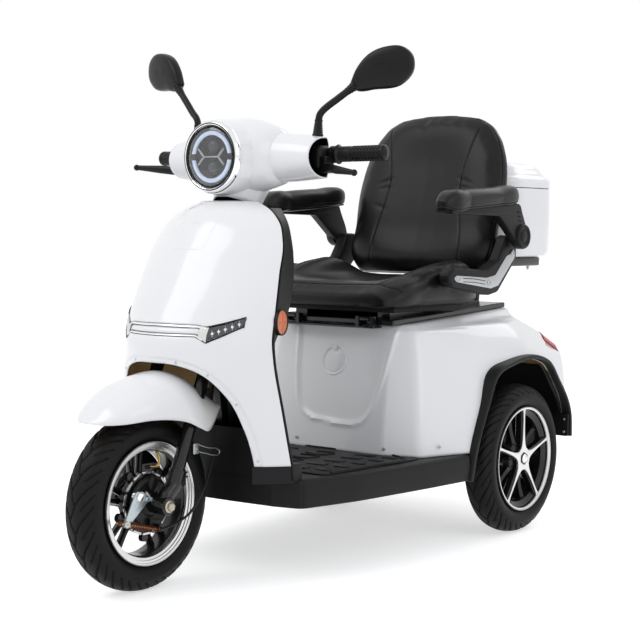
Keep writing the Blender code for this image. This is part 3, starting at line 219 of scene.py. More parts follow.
def paint(name, color, rough=0.22, coat=0.50):
    """Sprayed gloss paint: a slight orange peel, with a little haze."""
    f = Finish(name, coat_roughness=0.05, specular_ior_level=0.30 if color[0] > 0.1 else 0.25)
    haze = f.noise(5.0, 3.0)
    peel = f.noise(210.0, 1.0)
    return f.put(
        base_color=f.tint(haze, tone(color, 0.985), tone(color, 1.015)), roughness=haze * 0.08 + (rough - 0.04),
        coat_weight=coat + haze * 0.1, normal=f.bump(peel, 0.05, 0.0004))


def moulded(name, color, rough=0.46, grain=900.0, depth=0.0002, strength=0.35):
    """Moulded plastic with a fine grain, duller where it is handled."""
    f = Finish(name, specular_ior_level=0.19)
    cloud = f.noise(14.0, 4.0)
    return f.put(
        base_color=f.tint(cloud, tone(color, 0.8), tone(color, 1.3)), roughness=cloud * 0.18 + (rough - 0.09),
        normal=f.bump(f.noise(grain, 2.0) + f.cells(grain * 0.6) * 0.4, strength, depth))


def metal(name, color, rough=0.2, brushed=0.0, scale=(1, 1, 1)):
    """Plated, cast or machined metal with faint streaks."""
    f = Finish(name, metallic=1.0)
    streak = f.noise(300.0, 2.0, f.stretched(scale))
    cloud = f.noise(30.0, 3.0)
    return f.put(
        base_color=f.tint(cloud, tone(color, 0.93), tone(color, 1.05)),
        roughness=cloud * 0.08 + streak * brushed + (rough - 0.04),
        normal=f.bump(streak, 0.12, 0.0001 + brushed * 0.0004))


def glass(name, color, rough=0.02, through=1.0):
    """Clear or dyed lens plastic."""
    f = Finish(name, transmission_weight=through, ior=1.46, coat_roughness=0.03)
    cloud = f.noise(18.0, 2.0)
    return f.put(base_color=f.tint(cloud, tone(color, 0.95), color), roughness=cloud * 0.03 + rough, coat_weight=0.3)


def leatherette(name, color):
    """Soft cover with a pebbled grain, shinier on its high places."""
    f = Finish(name, specular_ior_level=0.25)
    pebble = f.cells(430.0)
    crease = f.noise(60.0, 4.0)
    cloud = f.noise(7.0, 4.0)
    return f.put(
        base_color=f.tint(cloud, tone(color, 0.75), tone(color, 1.5)), roughness=0.24 + cloud * 0.13 + pebble * 0.10,
        normal=f.bump(pebble * 0.7 + crease * 0.6, 0.32, 0.0006))


def tyre_rubber(name, color):
    """Tyre rubber, matt, with painted shade darkening its grooves."""
    f = Finish(name, specular_ior_level=0.15)
    groove = f.node("ShaderNodeAttribute", {"attribute_name": "groove"}, output="Fac")
    cloud = f.noise(22.0, 5.0)
    face = f.tint(cloud, tone(color, 0.75), tone(color, 1.7))
    # The grooves' darker base colour is painted shade.
    return f.put(
        base_color=f.tint(groove, face, tone(color, 0.45)), roughness=0.44 + cloud * 0.18 + groove * 0.2,
        normal=f.bump(f.noise(500.0, 3.0), 0.25, 0.0003))


def finish(name):
    """The finish of that name, made when it is first asked for."""
    if name in FINISHES:
        return FINISHES[name]
    look = bpy.context.scene.scooter_finishes
    made = {
        "white gloss": lambda: paint(name, look.body),
        "lining": lambda: moulded(name, look.lining, 0.6, 120.0, 0.0008),
        "black plastic": lambda: moulded(name, look.plastic),
        "smooth black": lambda: moulded(name, look.plastic, 0.30, 300.0, 0.0001, 0.15),
        "matt black": lambda: moulded(name, tone(look.plastic, 0.8), 0.62),
        "black paint": lambda: paint(name, tone(look.plastic, 0.8), 0.26, 0.30),
        "leatherette": lambda: leatherette(name, look.leather),
        "stitching": lambda: moulded(name, tone(look.leather, 0.6), 0.7, 500.0, 0.0004),
        "tyre rubber": lambda: tyre_rubber(name, look.rubber),
        "grip rubber": lambda: moulded(name, look.rubber, 0.34, 700.0, 0.0001),
        "machined": lambda: metal(name, (0.70, 0.70, 0.69), 0.26, 0.10),
        "silver": lambda: metal(name, (0.46, 0.47, 0.48), 0.40, 0.10),
        "chrome": lambda: metal(name, (0.82, 0.83, 0.84), 0.09),
        "zinc": lambda: metal(name, (0.50, 0.55, 0.58), 0.36, 0.15),
        "nickel": lambda: metal(name, (0.46, 0.43, 0.35), 0.38, 0.10),
        "brass": lambda: metal(name, (0.55, 0.36, 0.12), 0.30, 0.10),
        "copper": lambda: metal(name, (0.17, 0.060, 0.040), 0.42, 0.10),
        "clear lens": lambda: glass(name, (0.95, 0.97, 1.0)),
        "mat": lambda: moulded(name, tone(look.plastic, 1.5), 0.52, 420.0, 0.0004),
        "reflector": lambda: reflector(name),
        "red lens": lambda: glass(name, (0.62, 0.008, 0.012), 0.08, 0.35),
        "amber lens": lambda: glass(name, (0.80, 0.15, 0.005), 0.12, 0.25),
        "mirror glass": lambda: metal(name, (0.86, 0.88, 0.90), 0.03),
        "battery case": lambda: moulded(name, (0.03, 0.032, 0.05), 0.5),
        "halo": lambda: halo_light(name),
    }[name]().material
    FINISHES[name] = made
    return made


def halo_light(name):
    """Milky light guide that glows a little."""
    f = Finish(name, emission_strength=0.35, roughness=0.25)
    cloud = f.noise(40.0, 2.0)
    pale = f.tint(cloud, (0.55, 0.63, 0.80), (0.66, 0.73, 0.88))
    return f.put(base_color=pale, emission_color=pale)


def reflector(name):
    """Orange prism reflector."""
    f = Finish(name, roughness=0.2, coat_weight=0.2)
    prism = f.cells(330.0)
    return f.put(base_color=f.tint(prism, (0.74, 0.165, 0.008), (0.50, 0.080, 0.003)),
                 normal=f.bump(prism, 0.6, 0.0008))


# Mesh tools


def column(places, values, at):
    """A table's column read smoothly at many places."""
    places, values = np.asarray(places, float), np.asarray(values, float)
    step = np.diff(places)
    rise = np.diff(values) / step
    slope = np.empty_like(values)
    slope[1:-1] = (rise[:-1] * step[1:] + rise[1:] * step[:-1]) / (step[:-1] + step[1:])
    slope[0], slope[-1] = rise[0], rise[-1]
    i = np.clip(np.searchsorted(places, at) - 1, 0, len(places) - 2)
    t = (at - places[i]) / step[i]
    return ((2 * t**3 - 3 * t**2 + 1) * values[i] + (t**3 - 2 * t**2 + t) * step[i] * slope[i]
            + (3 * t**2 - 2 * t**3) * values[i + 1] + (t**3 - t**2) * step[i] * slope[i + 1])


def smoothstep(low, high, x):
    t = np.clip((x - low) / (high - low), 0.0, 1.0)
    return t * t * (3 - 2 * t)


def sheet(columns, rows, place, closed=False):
    """A grid bent to shape: place gives a point for u and v, which run from 0 to 1."""
    bm = bmesh.new()
    bmesh.ops.create_grid(bm, x_segments=columns, y_segments=rows, size=0.5)
    flat = np.array([vert.co for vert in bm.verts]) + 0.5
    for vert, spot in zip(bm.verts, place(flat[:, 0], flat[:, 1])):
        vert.co = spot
    if closed:
        bmesh.ops.remove_doubles(bm, verts=bm.verts, dist=MERGE)
    return bm


def tidy(bm):
    """Faces of a closed shape outwards, with its doubles merged."""
    bmesh.ops.remove_doubles(bm, verts=bm.verts, dist=MERGE)
    bmesh.ops.recalc_face_normals(bm, faces=bm.faces)
    return bm


def face_along(bm, pick):
    """Turns a sheet over where its faces look away from the direction that pick gives at a place."""
    total = sum(face.normal.dot(pick(face.calc_center_median())) * face.calc_area() for face in bm.faces)
    if total < 0:
        bmesh.ops.reverse_faces(bm, faces=bm.faces)
    return bm


def cap_ends(bm):
    """Closes every open loop of a mesh."""
    edges = [edge for edge in bm.edges if edge.is_boundary]
    bmesh.ops.holes_fill(bm, edges=edges, sides=0)
    return bm


def score(bm, field, level=0.0):
    """Splits a sheet's faces along the line on which a field of place has one value."""
    value = {vert: field(vert.co) - level for vert in bm.verts}
    for vert in value:
        if abs(value[vert]) < 2e-5:
            value[vert] = 0.0
    for edge in list(bm.edges):
        a, b = edge.verts
        if value[a] * value[b] < 0:
            fresh = bmesh.utils.edge_split(edge, a, value[a] / (value[a] - value[b]))[1]
            value[fresh] = 0.0
    for face in list(bm.faces):
        on = [vert for vert in face.verts if value[vert] == 0.0]
        if len(on) == 2 and not any(edge in on[1].link_edges for edge in on[0].link_edges):
            bmesh.utils.face_split(face, on[0], on[1])
    return value


def trim(bm, field):
    """Cuts away the side of a sheet on which a field is negative."""
    bm.normal_update()
    score(bm, field)
    gone = [face for face in bm.faces if field(face.calc_center_median()) < 0]
    bmesh.ops.delete(bm, geom=gone, context="FACES")
    return bm


def groove(bm, field, width, depth, inside=None):
    """Presses a line into a sheet where a field is zero."""
    for level in (-width / 2, width / 2, 0.0):
        score(bm, field, level)
    bm.normal_update()
    for vert in bm.verts:
        away = abs(field(vert.co))
        if away < width * 0.45 and (inside is None or inside(vert.co)):
            vert.co -= vert.normal * depth * (1 - (away / (width / 2)) ** 2)
    return bm


def outline_distance(outline, closed=True):
    """Signed distance to a flat outline, positive outside, as a function of two numbers."""
    points = np.array(outline, float)
    ends = np.roll(points, -1, axis=0)
    if not closed:
        points, ends = points[:-1], ends[:-1]
    along = ends - points
    size = np.maximum((along**2).sum(1), 1e-12)

    def distance(a, b):
        here = np.array((a, b))
        t = np.clip(((here - points) * along).sum(1) / size, 0.0, 1.0)
        near = math.sqrt(((points + along * t[:, None] - here) ** 2).sum(1).min())
        if not closed:
            return near
        low, high = points[:, 1] > b, ends[:, 1] > b
        cross = points[:, 0] + (b - points[:, 1]) * along[:, 0] / np.where(along[:, 1] == 0, 1e-12, along[:, 1])
        return -near if np.count_nonzero((low != high) & (a < cross)) % 2 else near
    return distance


def rounded(corners, radius, steps=5, spans=1, closed=True):
    """An outline with its corners rounded, as points; spans of straight line between them stay even."""
    corners = [Vector(c) for c in corners]
    radii = radius if isinstance(radius, (list, tuple)) else [radius] * len(corners)
    count, arcs = len(corners), []
    for i, here in enumerate(corners):
        if not closed and i in (0, count - 1):
            arcs.append([here])
            continue
        before, after = corners[i - 1], corners[(i + 1) % count]
        a, b = (before - here), (after - here)
        turn = a.angle(b)
        if turn > math.pi - 0.02:
            arcs.append([here] * (steps + 1))
            continue
        reach = min(radii[i] / math.tan(turn / 2), a.length * 0.45, b.length * 0.45)
        p, q = here + a.normalized() * reach, here + b.normalized() * reach
        arcs.append([p.lerp(here, t).lerp(here.lerp(q, t), t) for t in (k / steps for k in range(steps + 1))])
    made = []
    for i, arc in enumerate(arcs):
        made += arc
        if not closed and i == count - 1:
            break
        goal = arcs[(i + 1) % count][0]
        made += [arc[-1].lerp(goal, k / spans) for k in range(1, spans)]
    return made


def smooth_path(points, count):
    """Even points on a smooth line through a few."""
    points = np.array([tuple(p) for p in points], float)
    reach = np.r_[0.0, np.cumsum(np.linalg.norm(np.diff(points, axis=0), axis=1))]
    at = np.linspace(0.0, reach[-1], count)
    return [Vector(p) for p in np.stack([column(reach, points[:, k], at) for k in range(points.shape[1])], 1)]


def smooth_line(points, count):
    """The same for flat points."""
    return [(p.x, p.y) for p in smooth_path([(*p, 0.0) for p in points], count)]


def tube(points, radius, sides=16, count=24, flat=1.0, up=None):
    """A rod or pipe along a line; radius is a number or its values from start to end, flat squeezes it."""
    path = smooth_path(points, count) if count > len(points) else [Vector(p) for p in points]
    radii = np.interp(np.linspace(0, 1, len(path)), np.linspace(0, 1, len(np.atleast_1d(radius))),
                      np.atleast_1d(radius))
    ways = [(path[min(i + 1, len(path) - 1)] - path[max(i - 1, 0)]).normalized() for i in range(len(path))]
    side = (up or ways[0].orthogonal()).normalized()
    rings = []
    for here, way, r in zip(path, ways, radii):
        side = (side - way * side.dot(way)).normalized()
        across = way.cross(side)
        rings.append([
            here + side * (r * math.cos(a)) + across * (r * flat * math.sin(a))
            for a in (2 * math.pi * k / sides for k in range(sides))
        ])
    return ringed(rings)


def ringed(rings, caps=True):
    """A skin over closed rings of equal counts."""
    bm = bmesh.new()
    loops = [[bm.verts.new(p) for p in ring] for ring in rings]
    for low, high in zip(loops, loops[1:]):
        for k in range(len(low)):
            bm.faces.new((low[k - 1], low[k], high[k], high[k - 1]))
    if caps:
        bm.faces.new(loops[0])
        bm.faces.new(loops[-1])
    return tidy(bm)


def spun(profile, centre, axis=(1, 0, 0), steps=64, closed=False):
    """A profile of (radius, along) points turned about an axis."""
    bm = bmesh.new()
    verts = [bm.verts.new((radius, 0.0, along)) for radius, along in profile]
    edges = [bm.edges.new(pair) for pair in zip(verts, verts[1:])]
    if closed:
        edges.append(bm.edges.new((verts[-1], verts[0])))
    bmesh.ops.spin(bm, geom=verts + edges, cent=(0, 0, 0), axis=(0, 0, 1), angle=2 * math.pi, steps=steps,
                   use_merge=True)
    tidy(bm)
    turn = Vector(axis).to_track_quat("Z", "Y").to_matrix().to_4x4()
    bmesh.ops.transform(bm, matrix=Matrix.Translation(centre) @ turn, verts=bm.verts)
    return bm


def slab(outline, low, high, axis="X", edge=0.0, segments=2):
    """A flat outline given thickness along an axis, with softened edges."""
    back = {"X": lambda p, d: (d, p[0], p[1]), "Y": lambda p, d: (p[0], d, p[1]),
            "Z": lambda p, d: (p[0], p[1], d)}[axis]
    bm = bmesh.new()
    face = bm.faces.new([bm.verts.new(back(p, low)) for p in outline])
    bm.normal_update()
    raised = bmesh.ops.extrude_face_region(bm, geom=[face])["geom"]
    push = Vector(back((0.0, 0.0), high - low))
    bmesh.ops.translate(bm, vec=push, verts=[g for g in raised if isinstance(g, bmesh.types.BMVert)])
    tidy(bm)
    return soften(bm, edge, segments) if edge else bm


def soften(bm, width, segments=2, angle=35.0):
    """Bevels a mesh's sharp edges."""
    sharp = [edge for edge in bm.edges if len(edge.link_faces) == 2 and edge.calc_face_angle() > math.radians(angle)]
    bmesh.ops.bevel(
        bm, geom=sharp, offset=width, offset_type="OFFSET", segments=segments, profile=0.5, affect="EDGES",
        clamp_overlap=True, material=-1)
    return bm


def brick(low, high, edge=0.0, segments=2, turn=None):
    """A block between two corners, its edges softened, turned about its middle."""
    low, high = Vector(low), Vector(high)
    bm = bmesh.new()
    bmesh.ops.create_cube(bm, size=1.0)
    bmesh.ops.scale(bm, vec=high - low, verts=bm.verts)
    if edge:
        soften(bm, edge, segments)
    if turn:
        bmesh.ops.transform(bm, matrix=turn.to_4x4(), verts=bm.verts)
    bmesh.ops.translate(bm, vec=(low + high) / 2, verts=bm.verts)
    return bm


def gather(*parts):
    """Several meshes as one; each part is a bmesh, or a pair of a bmesh and its material number."""
    whole = bmesh.new()
    for part in parts:
        bm, number = part if isinstance(part, tuple) else (part, None)
        if number is not None:
            for face in bm.faces:
                face.material_index = number
        mesh = bpy.data.meshes.new("part")
        bm.to_mesh(mesh)
        bm.free()
        whole.from_mesh(mesh)
        bpy.data.meshes.remove(mesh)
    return whole


def piece(name, bm, finishes, body, instead=(), sharp=35.0):
    """Makes a mesh a shown piece that rides on a body."""
    for face in bm.faces:
        face.smooth = True
    for edge in bm.edges:
        if len(edge.link_faces) == 2 and edge.calc_face_angle(0.0) > math.radians(sharp):
            edge.smooth = False
    mesh = bpy.data.meshes.new(name)
    bm.to_mesh(mesh)
    bm.free()
    made = bpy.data.objects.new(name, mesh)
    bpy.context.scene.collection.objects.link(made)
    for kind in [finishes] if isinstance(finishes, str) else finishes:
        mesh.materials.append(finish(kind))
    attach(made, body)
    if instead:
        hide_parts(*instead)
    return made


def thicken(made, wall, inner=1, rim=0):
    """Gives a sheet its wall inwards, with the lining's finish inside."""
    step = made.modifiers.new("wall", "SOLIDIFY")
    step.thickness = wall
    step.offset = -1.0
    step.use_even_offset = True
    step.use_rim = True
    step.material_offset = inner
    step.material_offset_rim = rim
    return made


def rear_axle(sign):
    """The middle of a rear wheel: 1 is the left one, -1 the right one."""
    return Vector((sign * REAR_AXLE.x, REAR_AXLE.y, REAR_AXLE.z))


def both_halves(right, y, middle=0.0):
    """A closed ring across the scooter at y, from the points of its right half."""
    return [(middle + p.x, y, p.z) for p in right] + [(middle - p.x, y, p.z) for p in right[-2:0:-1]]


def steering_point(z):
    """The steering axis at a height."""
    return Vector((0.0, STEER_FOOT_Y + (z - TYRE_R) * math.tan(CASTER), z))


# White shells

# Height, half width, y of the outer edge and y of the middle of the front shield.
SHIELD_LEVELS = (
    (0.278, 0.252, -0.446, -0.600), (0.400, 0.242, -0.468, -0.622), (0.520, 0.230, -0.486, -0.637),
    (0.560, 0.226, -0.486, -0.634), (0.620, 0.224, -0.474, -0.606), (0.710, 0.213, -0.446, -0.556),
    (0.785, 0.198, -0.416, -0.514), (0.835, 0.168, -0.398, -0.480), (0.862, 0.128, -0.386, -0.452),
    (0.878, 0.086, -0.376, -0.424),
)
SHIELD_POWER = 2.1
# Edge of the front wheel arch in the shield, as (x, z).
SHIELD_ARCH = (
    (0.205, 0.100), (0.199, 0.250), (0.185, 0.360), (0.158, 0.438), (0.118, 0.486), (0.068, 0.506), (0.0, 0.510),
    (-0.068, 0.506), (-0.118, 0.486), (-0.158, 0.438), (-0.185, 0.360), (-0.199, 0.250), (-0.205, 0.100),
)
# Outline of the panel near the shield's top, as (x, z).
ACCESS_PANEL = ((-0.047, 0.764), (0.047, 0.764), (0.058, 0.852), (-0.058, 0.852))
# Half of the light bar across the shield: x, low edge, high edge.
LIGHT_BAR = (
    (0.0, 0.571, 0.600), (0.100, 0.571, 0.5985), (0.1230, 0.558, 0.5935), (0.150, 0.573, 0.603),
    (0.1825, 0.5945, 0.6160),
)


def screw(place, way, radius, high=0.0022):
    """A round screw head on a face that looks along way, with a recessed middle."""
    profile = [
        (0.0, high * 0.45), (radius * 0.42, high * 0.45), (radius * 0.50, high), (radius * 0.78, high * 0.92),
        (radius * 0.97, high * 0.45), (radius, -0.001),
    ]
    return spun(profile, Vector(place), way, 20)


def shield_surface(x, z):
    """y of the shield's front skin."""
    levels = np.array(SHIELD_LEVELS).T
    half, edge, middle = (column(levels[0], levels[k], z) for k in (1, 2, 3))
    return middle + (edge - middle) * np.abs(x / half) ** SHIELD_POWER


class SCOOTER_OT_front_shield(bpy.types.Operator):
    """White front shield with its wheel arch and the window of the light bar"""

    bl_idname = "scooter.front_shield"
    bl_label = "Front shield"

    def execute(self, context):
        sizes = context.scene.scooter_sizes
        levels = np.array(SHIELD_LEVELS).T

        def place(u, v):
            z = np.interp(v, (0.0, 0.72, 1.0), (levels[0][0], 0.760, levels[0][-1]))
            half, edge, middle = (column(levels[0], levels[k], z) for k in (1, 2, 3))
            x = half * np.sin((u - 0.5) * math.pi)
            return np.stack([x, middle + (edge - middle) * np.abs(x / half) ** SHIELD_POWER, z], 1)

        bm = sheet(96, 130, place)
        face_along(bm, lambda p: Vector((0, -1, 0)))
        arch = outline_distance(smooth_line(SHIELD_ARCH, 90))
        trim(bm, lambda p: arch(p.x, p.z))
        for level in (0.0105, 0.0145):
            score(bm, lambda p: arch(p.x, p.z), level)
        bm.normal_update()
        for vert in bm.verts:
            vert.co -= vert.normal * 0.0026 * (1 - float(smoothstep(0.0100, 0.0147, arch(vert.co.x, vert.co.z))))
        panel = outline_distance(rounded(ACCESS_PANEL, 0.006))
        groove(bm, lambda p: panel(p.x, p.z), 0.0020, 0.00035)
        half = [(x, low) for x, low, _ in LIGHT_BAR] + [(x, high) for x, _, high in reversed(LIGHT_BAR)]
        window = outline_distance(half + [(-x, z) for x, z in reversed(half)])
        trim(bm, lambda p: window(p.x, p.z))
        made = piece("shield_skin", bm, ("white gloss", "lining"), "chassis", ["front_shield"])
        thicken(made, sizes.wall)
        heads = []
        for x, z in ((0.062, 0.508), (0.128, 0.487), (0.168, 0.418), (0.193, 0.290)):
            for _ in range(3):
                here = arch(x, z)
                slope = Vector((arch(x + 0.001, z) - here, arch(x, z + 0.001) - here)).normalized()
                x, z = x + slope.x * (0.0062 - here), z + slope.y * (0.0062 - here)
            for sign in (1, -1):
                y = float(shield_surface(x, z))
                lean = float(shield_surface(x + 0.001, z)) - y
                heads.append(screw((sign * x, y + 0.0026, z), (sign * lean * 1000, -1, 0), 0.0031, 0.0012))
        latch = tube([(x, float(shield_surface(x, z)) - 0.0002, z)
                      for x, z in ((-0.012, 0.822), (-0.006, 0.8265), (0.0, 0.828), (0.006, 0.8265), (0.012, 0.822))],
                     0.0009, 8, 20)
        piece("shield_screws", gather((latch, 1), *[(h, 0) for h in heads]), ("zinc", "white gloss"), "chassis")
        return {"FINISHED"}


# y, crown height, half width and edge height of the front mudguard.
MUDGUARD_ARCH = (
    (-0.840, 0.3925, 0.004, 0.3915), (-0.824, 0.406, 0.042, 0.3895), (-0.790, 0.436, 0.072, 0.391),
    (-0.735, 0.468, 0.094, 0.396), (-0.680, 0.483, 0.104, 0.393), (-0.630, 0.491, 0.108, 0.383),
    (-0.590, 0.486, 0.109, 0.366), (-0.560, 0.470, 0.107, 0.358), (-0.530, 0.445, 0.102, 0.385),
    (-0.512, 0.422, 0.096, 0.405),
)


class SCOOTER_OT_mudguard(bpy.types.Operator):
    """White front mudguard"""

    bl_idname = "scooter.mudguard"
    bl_label = "Front mudguard"

    def execute(self, context):
        y, crown, half, edge = np.array(MUDGUARD_ARCH).T
        way = np.linspace(0, 1, len(y))

        def place(u, v):
            t = 2 * u - 1
            ys, top, wide, low = (column(way, values, v) for values in (y, crown, half, edge))
            x = wide * np.sin(t * math.pi / 2)
            drop = 1 - np.cos(t * math.pi / 2) ** 0.8
            return np.stack([x, ys, top - (top - low) * drop], 1)

        bm = sheet(48, 72, place)
        face_along(bm, lambda p: Vector((0, 0, 1)))
        made = piece("mudguard_skin", bm, ("white gloss", "lining"), "steering", ["front_mudguard"])
        thicken(made, 0.0022)
        return {"FINISHED"}


# Rear body, level by level.
BODY_LEVELS = (
    # z front, z rear, front y, front x, corner x, corner y, flank x, flank y, arch x, arch y, tail x, tail y, mid y
    (0.2442, 0.2442, -0.012, 0.190, 0.287, 0.026, 0.343, 0.190, 0.342, 0.600, 0.320, 0.708, 0.712),
    (0.360, 0.360, 0.008, 0.186, 0.269, 0.045, 0.333, 0.215, 0.346, 0.560, 0.322, 0.724, 0.730),
    (0.455, 0.455, 0.026, 0.182, 0.254, 0.062, 0.312, 0.240, 0.346, 0.480, 0.312, 0.718, 0.726),
    (0.495, 0.490, 0.034, 0.180, 0.248, 0.070, 0.294, 0.240, 0.334, 0.470, 0.300, 0.700, 0.714),
    (0.528, 0.530, 0.040, 0.178, 0.242, 0.078, 0.272, 0.245, 0.312, 0.460, 0.288, 0.622, 0.688),
    (0.550, 0.562, 0.045, 0.176, 0.234, 0.084, 0.254, 0.250, 0.276, 0.450, 0.258, 0.566, 0.664),
    (0.560, 0.577, 0.048, 0.172, 0.224, 0.088, 0.236, 0.255, 0.238, 0.450, 0.226, 0.572, 0.650),
    (0.5688, 0.5943, 0.053, 0.166, 0.212, 0.094, 0.216, 0.260, 0.214, 0.450, 0.206, 0.586, 0.622),
    (0.5711, 0.5966, 0.066, 0.150, 0.196, 0.108, 0.200, 0.260, 0.198, 0.450, 0.190, 0.576, 0.606),
    (0.5730, 0.59425, 0.105, 0.110, 0.140, 0.140, 0.145, 0.260, 0.145, 0.450, 0.140, 0.530, 0.545),
)
# Edge of the rear wheel arch, as (y, z).
REAR_ARCH = (
    (0.171, 0.172), (0.192, 0.248), (0.246, 0.360), (0.290, 0.432), (0.370, 0.456),
    (0.500, 0.462), (0.556, 0.444), (0.600, 0.400), (0.674, 0.299), (0.678, 0.236),
)


def body_ring(row):
    """One level of the rear body as a closed ring, from a row of BODY_LEVELS."""
    z_front, z_rear, front_y, front_x, corner_x, corner_y, flank_x, flank_y = row[:8]
    arch_x, arch_y, tail_x, tail_y, middle_y = row[8:]
    half = [
        (front_x, front_y), (corner_x, corner_y), (flank_x, flank_y), (arch_x, arch_y), (tail_x, tail_y),
        (tail_x * 0.5, middle_y),
    ]
    full = half + [(-x, y) for x, y in reversed(half)]
    ring = []
    for p in rounded(full, [0.040, 0.045, 0.20, 0.20, 0.045, 0.20] + [0.20, 0.045, 0.20, 0.20, 0.045, 0.040], steps=6,
                     spans=9):
        share = min(1.0, max(0.0, (p.y - front_y) / (tail_y - front_y)))
        ring.append((p.x, p.y, z_front + (z_rear - z_front) * share))
    return ring


# Raised border on the front of the rear body, as (x, z).
EMBOSS = (
    (-0.118, 0.640), (-0.112, 0.520), (-0.100, 0.410), (-0.085, 0.355), (-0.050, 0.326), (0.010, 0.318),
    (0.080, 0.315), (0.118, 0.322), (0.145, 0.352), (0.164, 0.410), (0.184, 0.520), (0.192, 0.640),
)


class SCOOTER_OT_rear_body(bpy.types.Operator):
    """White rear body, open at both wheel arches, with its embossed front and round cap"""

    bl_idname = "scooter.rear_body"
    bl_label = "Rear body"

    def emboss(self, bm):
        """Sinks the front of the body inside a rounded border."""
        border = outline_distance(smooth_line(EMBOSS, 70))

        def front(face):
            middle = face.calc_center_median()
            return middle.y < 0.075 and abs(middle.x) < 0.215 and middle.z < 0.566

        for x in np.arange(-0.20, 0.2001, 0.004):
            faces = [face for face in bm.faces if front(face)]
            edges = {edge for face in faces for edge in face.edges}
            bmesh.ops.bisect_plane(bm, geom=[*faces, *edges], plane_co=(float(x), 0, 0), plane_no=(1, 0, 0))
        bm.normal_update()
        for vert in bm.verts:
            if vert.co.y < 0.080 and vert.co.z < 0.5670:
                inside = 1 - float(smoothstep(-0.014, -0.002, border(vert.co.x, vert.co.z)))
                ridge = math.exp(-(((border(vert.co.x, vert.co.z) - 0.002) / 0.0048) ** 2))
                fade = 1 - float(smoothstep(0.545, 0.566, vert.co.z))
                vert.co -= vert.normal * ((0.0030 * inside - 0.0036 * ridge) * fade)

    def fittings(self):
        way = Vector((0.0, -0.98, 0.196))
        cap = spun([(0.0, 0.0016), (0.0300, 0.0016), (0.0318, 0.0004), (0.0330, 0.0016), (0.0372, 0.0030),
                    (0.0392, 0.0020), (0.0400, -0.004)],
                   (0.010, 0.0330, 0.472), way, 64)
        tab = brick((0.004, 0.0275, 0.5010), (0.016, 0.0345, 0.5130), 0.0015, 2)
        heads = [screw((x, y, z), w, 0.0042, 0.0024) for x, y, z, w in (
            (-0.080, -0.0105, 0.267, (0, -1, 0)), (0.199, -0.0090, 0.262, (0.3, -0.95, 0)),
            (0.3090, 0.0800, 0.268, (0.94, -0.34, 0)), (-0.3090, 0.0800, 0.268, (-0.94, -0.34, 0)))]
        piece("body_cap", gather((cap, 0), (tab, 0), *[(h, 1) for h in heads]), ("white gloss", "zinc"), "chassis")

    def execute(self, context):
        levels = np.array(BODY_LEVELS).T
        way = np.arange(len(BODY_LEVELS), dtype=float)
        rows = 84
        at = np.interp(np.linspace(0, 1, rows + 1), (0, 0.62, 1), (0, 3.0, 9.0))
        table = np.stack([column(way, values, at) for values in levels], 1)
        rings = np.array([body_ring(row) for row in table])
        count = rings.shape[1]

        def place(u, v):
            return rings[np.rint(v * rows).astype(int), np.rint(u * count).astype(int) % count]

        bm = sheet(count, rows, place, closed=True)
        bmesh.ops.recalc_face_normals(bm, faces=bm.faces)
        face_along(bm, lambda p: Vector((p.x, p.y - 0.35, 0.0)))
        top = [edge for edge in bm.edges if edge.is_boundary and edge.verts[0].co.z > 0.5]
        bmesh.ops.holes_fill(bm, edges=top, sides=0)
        arch = outline_distance(smooth_line(REAR_ARCH, 60) + [(0.678, 0.0), (0.171, 0.0)])
        trim(bm, lambda p: arch(p.y, p.z))
        self.emboss(bm)
        bm.normal_update()
        for side, _ in SIDES:
            low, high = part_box("tail_lamp_" + side)
            for vert in bm.verts:
                outside = max(max(low[k] - vert.co[k], vert.co[k] - high[k]) for k in range(3))
                vert.co -= vert.normal * (LAMP_SET_BACK * (1 - float(smoothstep(-LAMP_FALL, LAMP_FALL, outside))))
        # Inner faces outside the tan region are matt black: painted shade inside the shell.
        for face in bm.faces:
            middle = face.calc_center_median()
            face.material_index = 0 if middle.z > TAN_LOW and middle.y > TAN_FRONT else 2
        made = piece("body_skin", bm, ("white gloss", "lining", "white gloss", "matt black"), "chassis",
                     ["rear_body"])
        thicken(made, context.scene.scooter_sizes.wall, rim=1)
        self.fittings()
        return {"FINISHED"}


# Tyres


TREAD_PITCHES = 20


def tread(side, around):
    """How deep the tread is cut, from 0 to 1: side is across the crown from -1 to 1, around is in pitches."""
    reach = np.abs(side)
    half_turn = np.where(side > 0, 0.0, 0.5)

    def line(lag, start, end, width):
        curve = 1.45 * reach + 0.08 * np.sin(reach * 6.3)
        gap = np.abs((around + half_turn - curve - lag + 0.5) % 1.0 - 0.5)
        cut = 1 - smoothstep(width * 0.5, width, gap)
        return cut * smoothstep(start - 0.03, start + 0.01, reach) * (1 - smoothstep(end - 0.03, end + 0.03, reach))

    middle = np.abs(side - 0.12 * np.sin(2 * np.pi * around))
    zigzag = 1 - smoothstep(0.02, 0.05, middle)
    return np.maximum.reduce([line(0.0, 0.04, 0.97, 0.070), line(0.45, 0.45, 0.97, 0.045), zigzag])


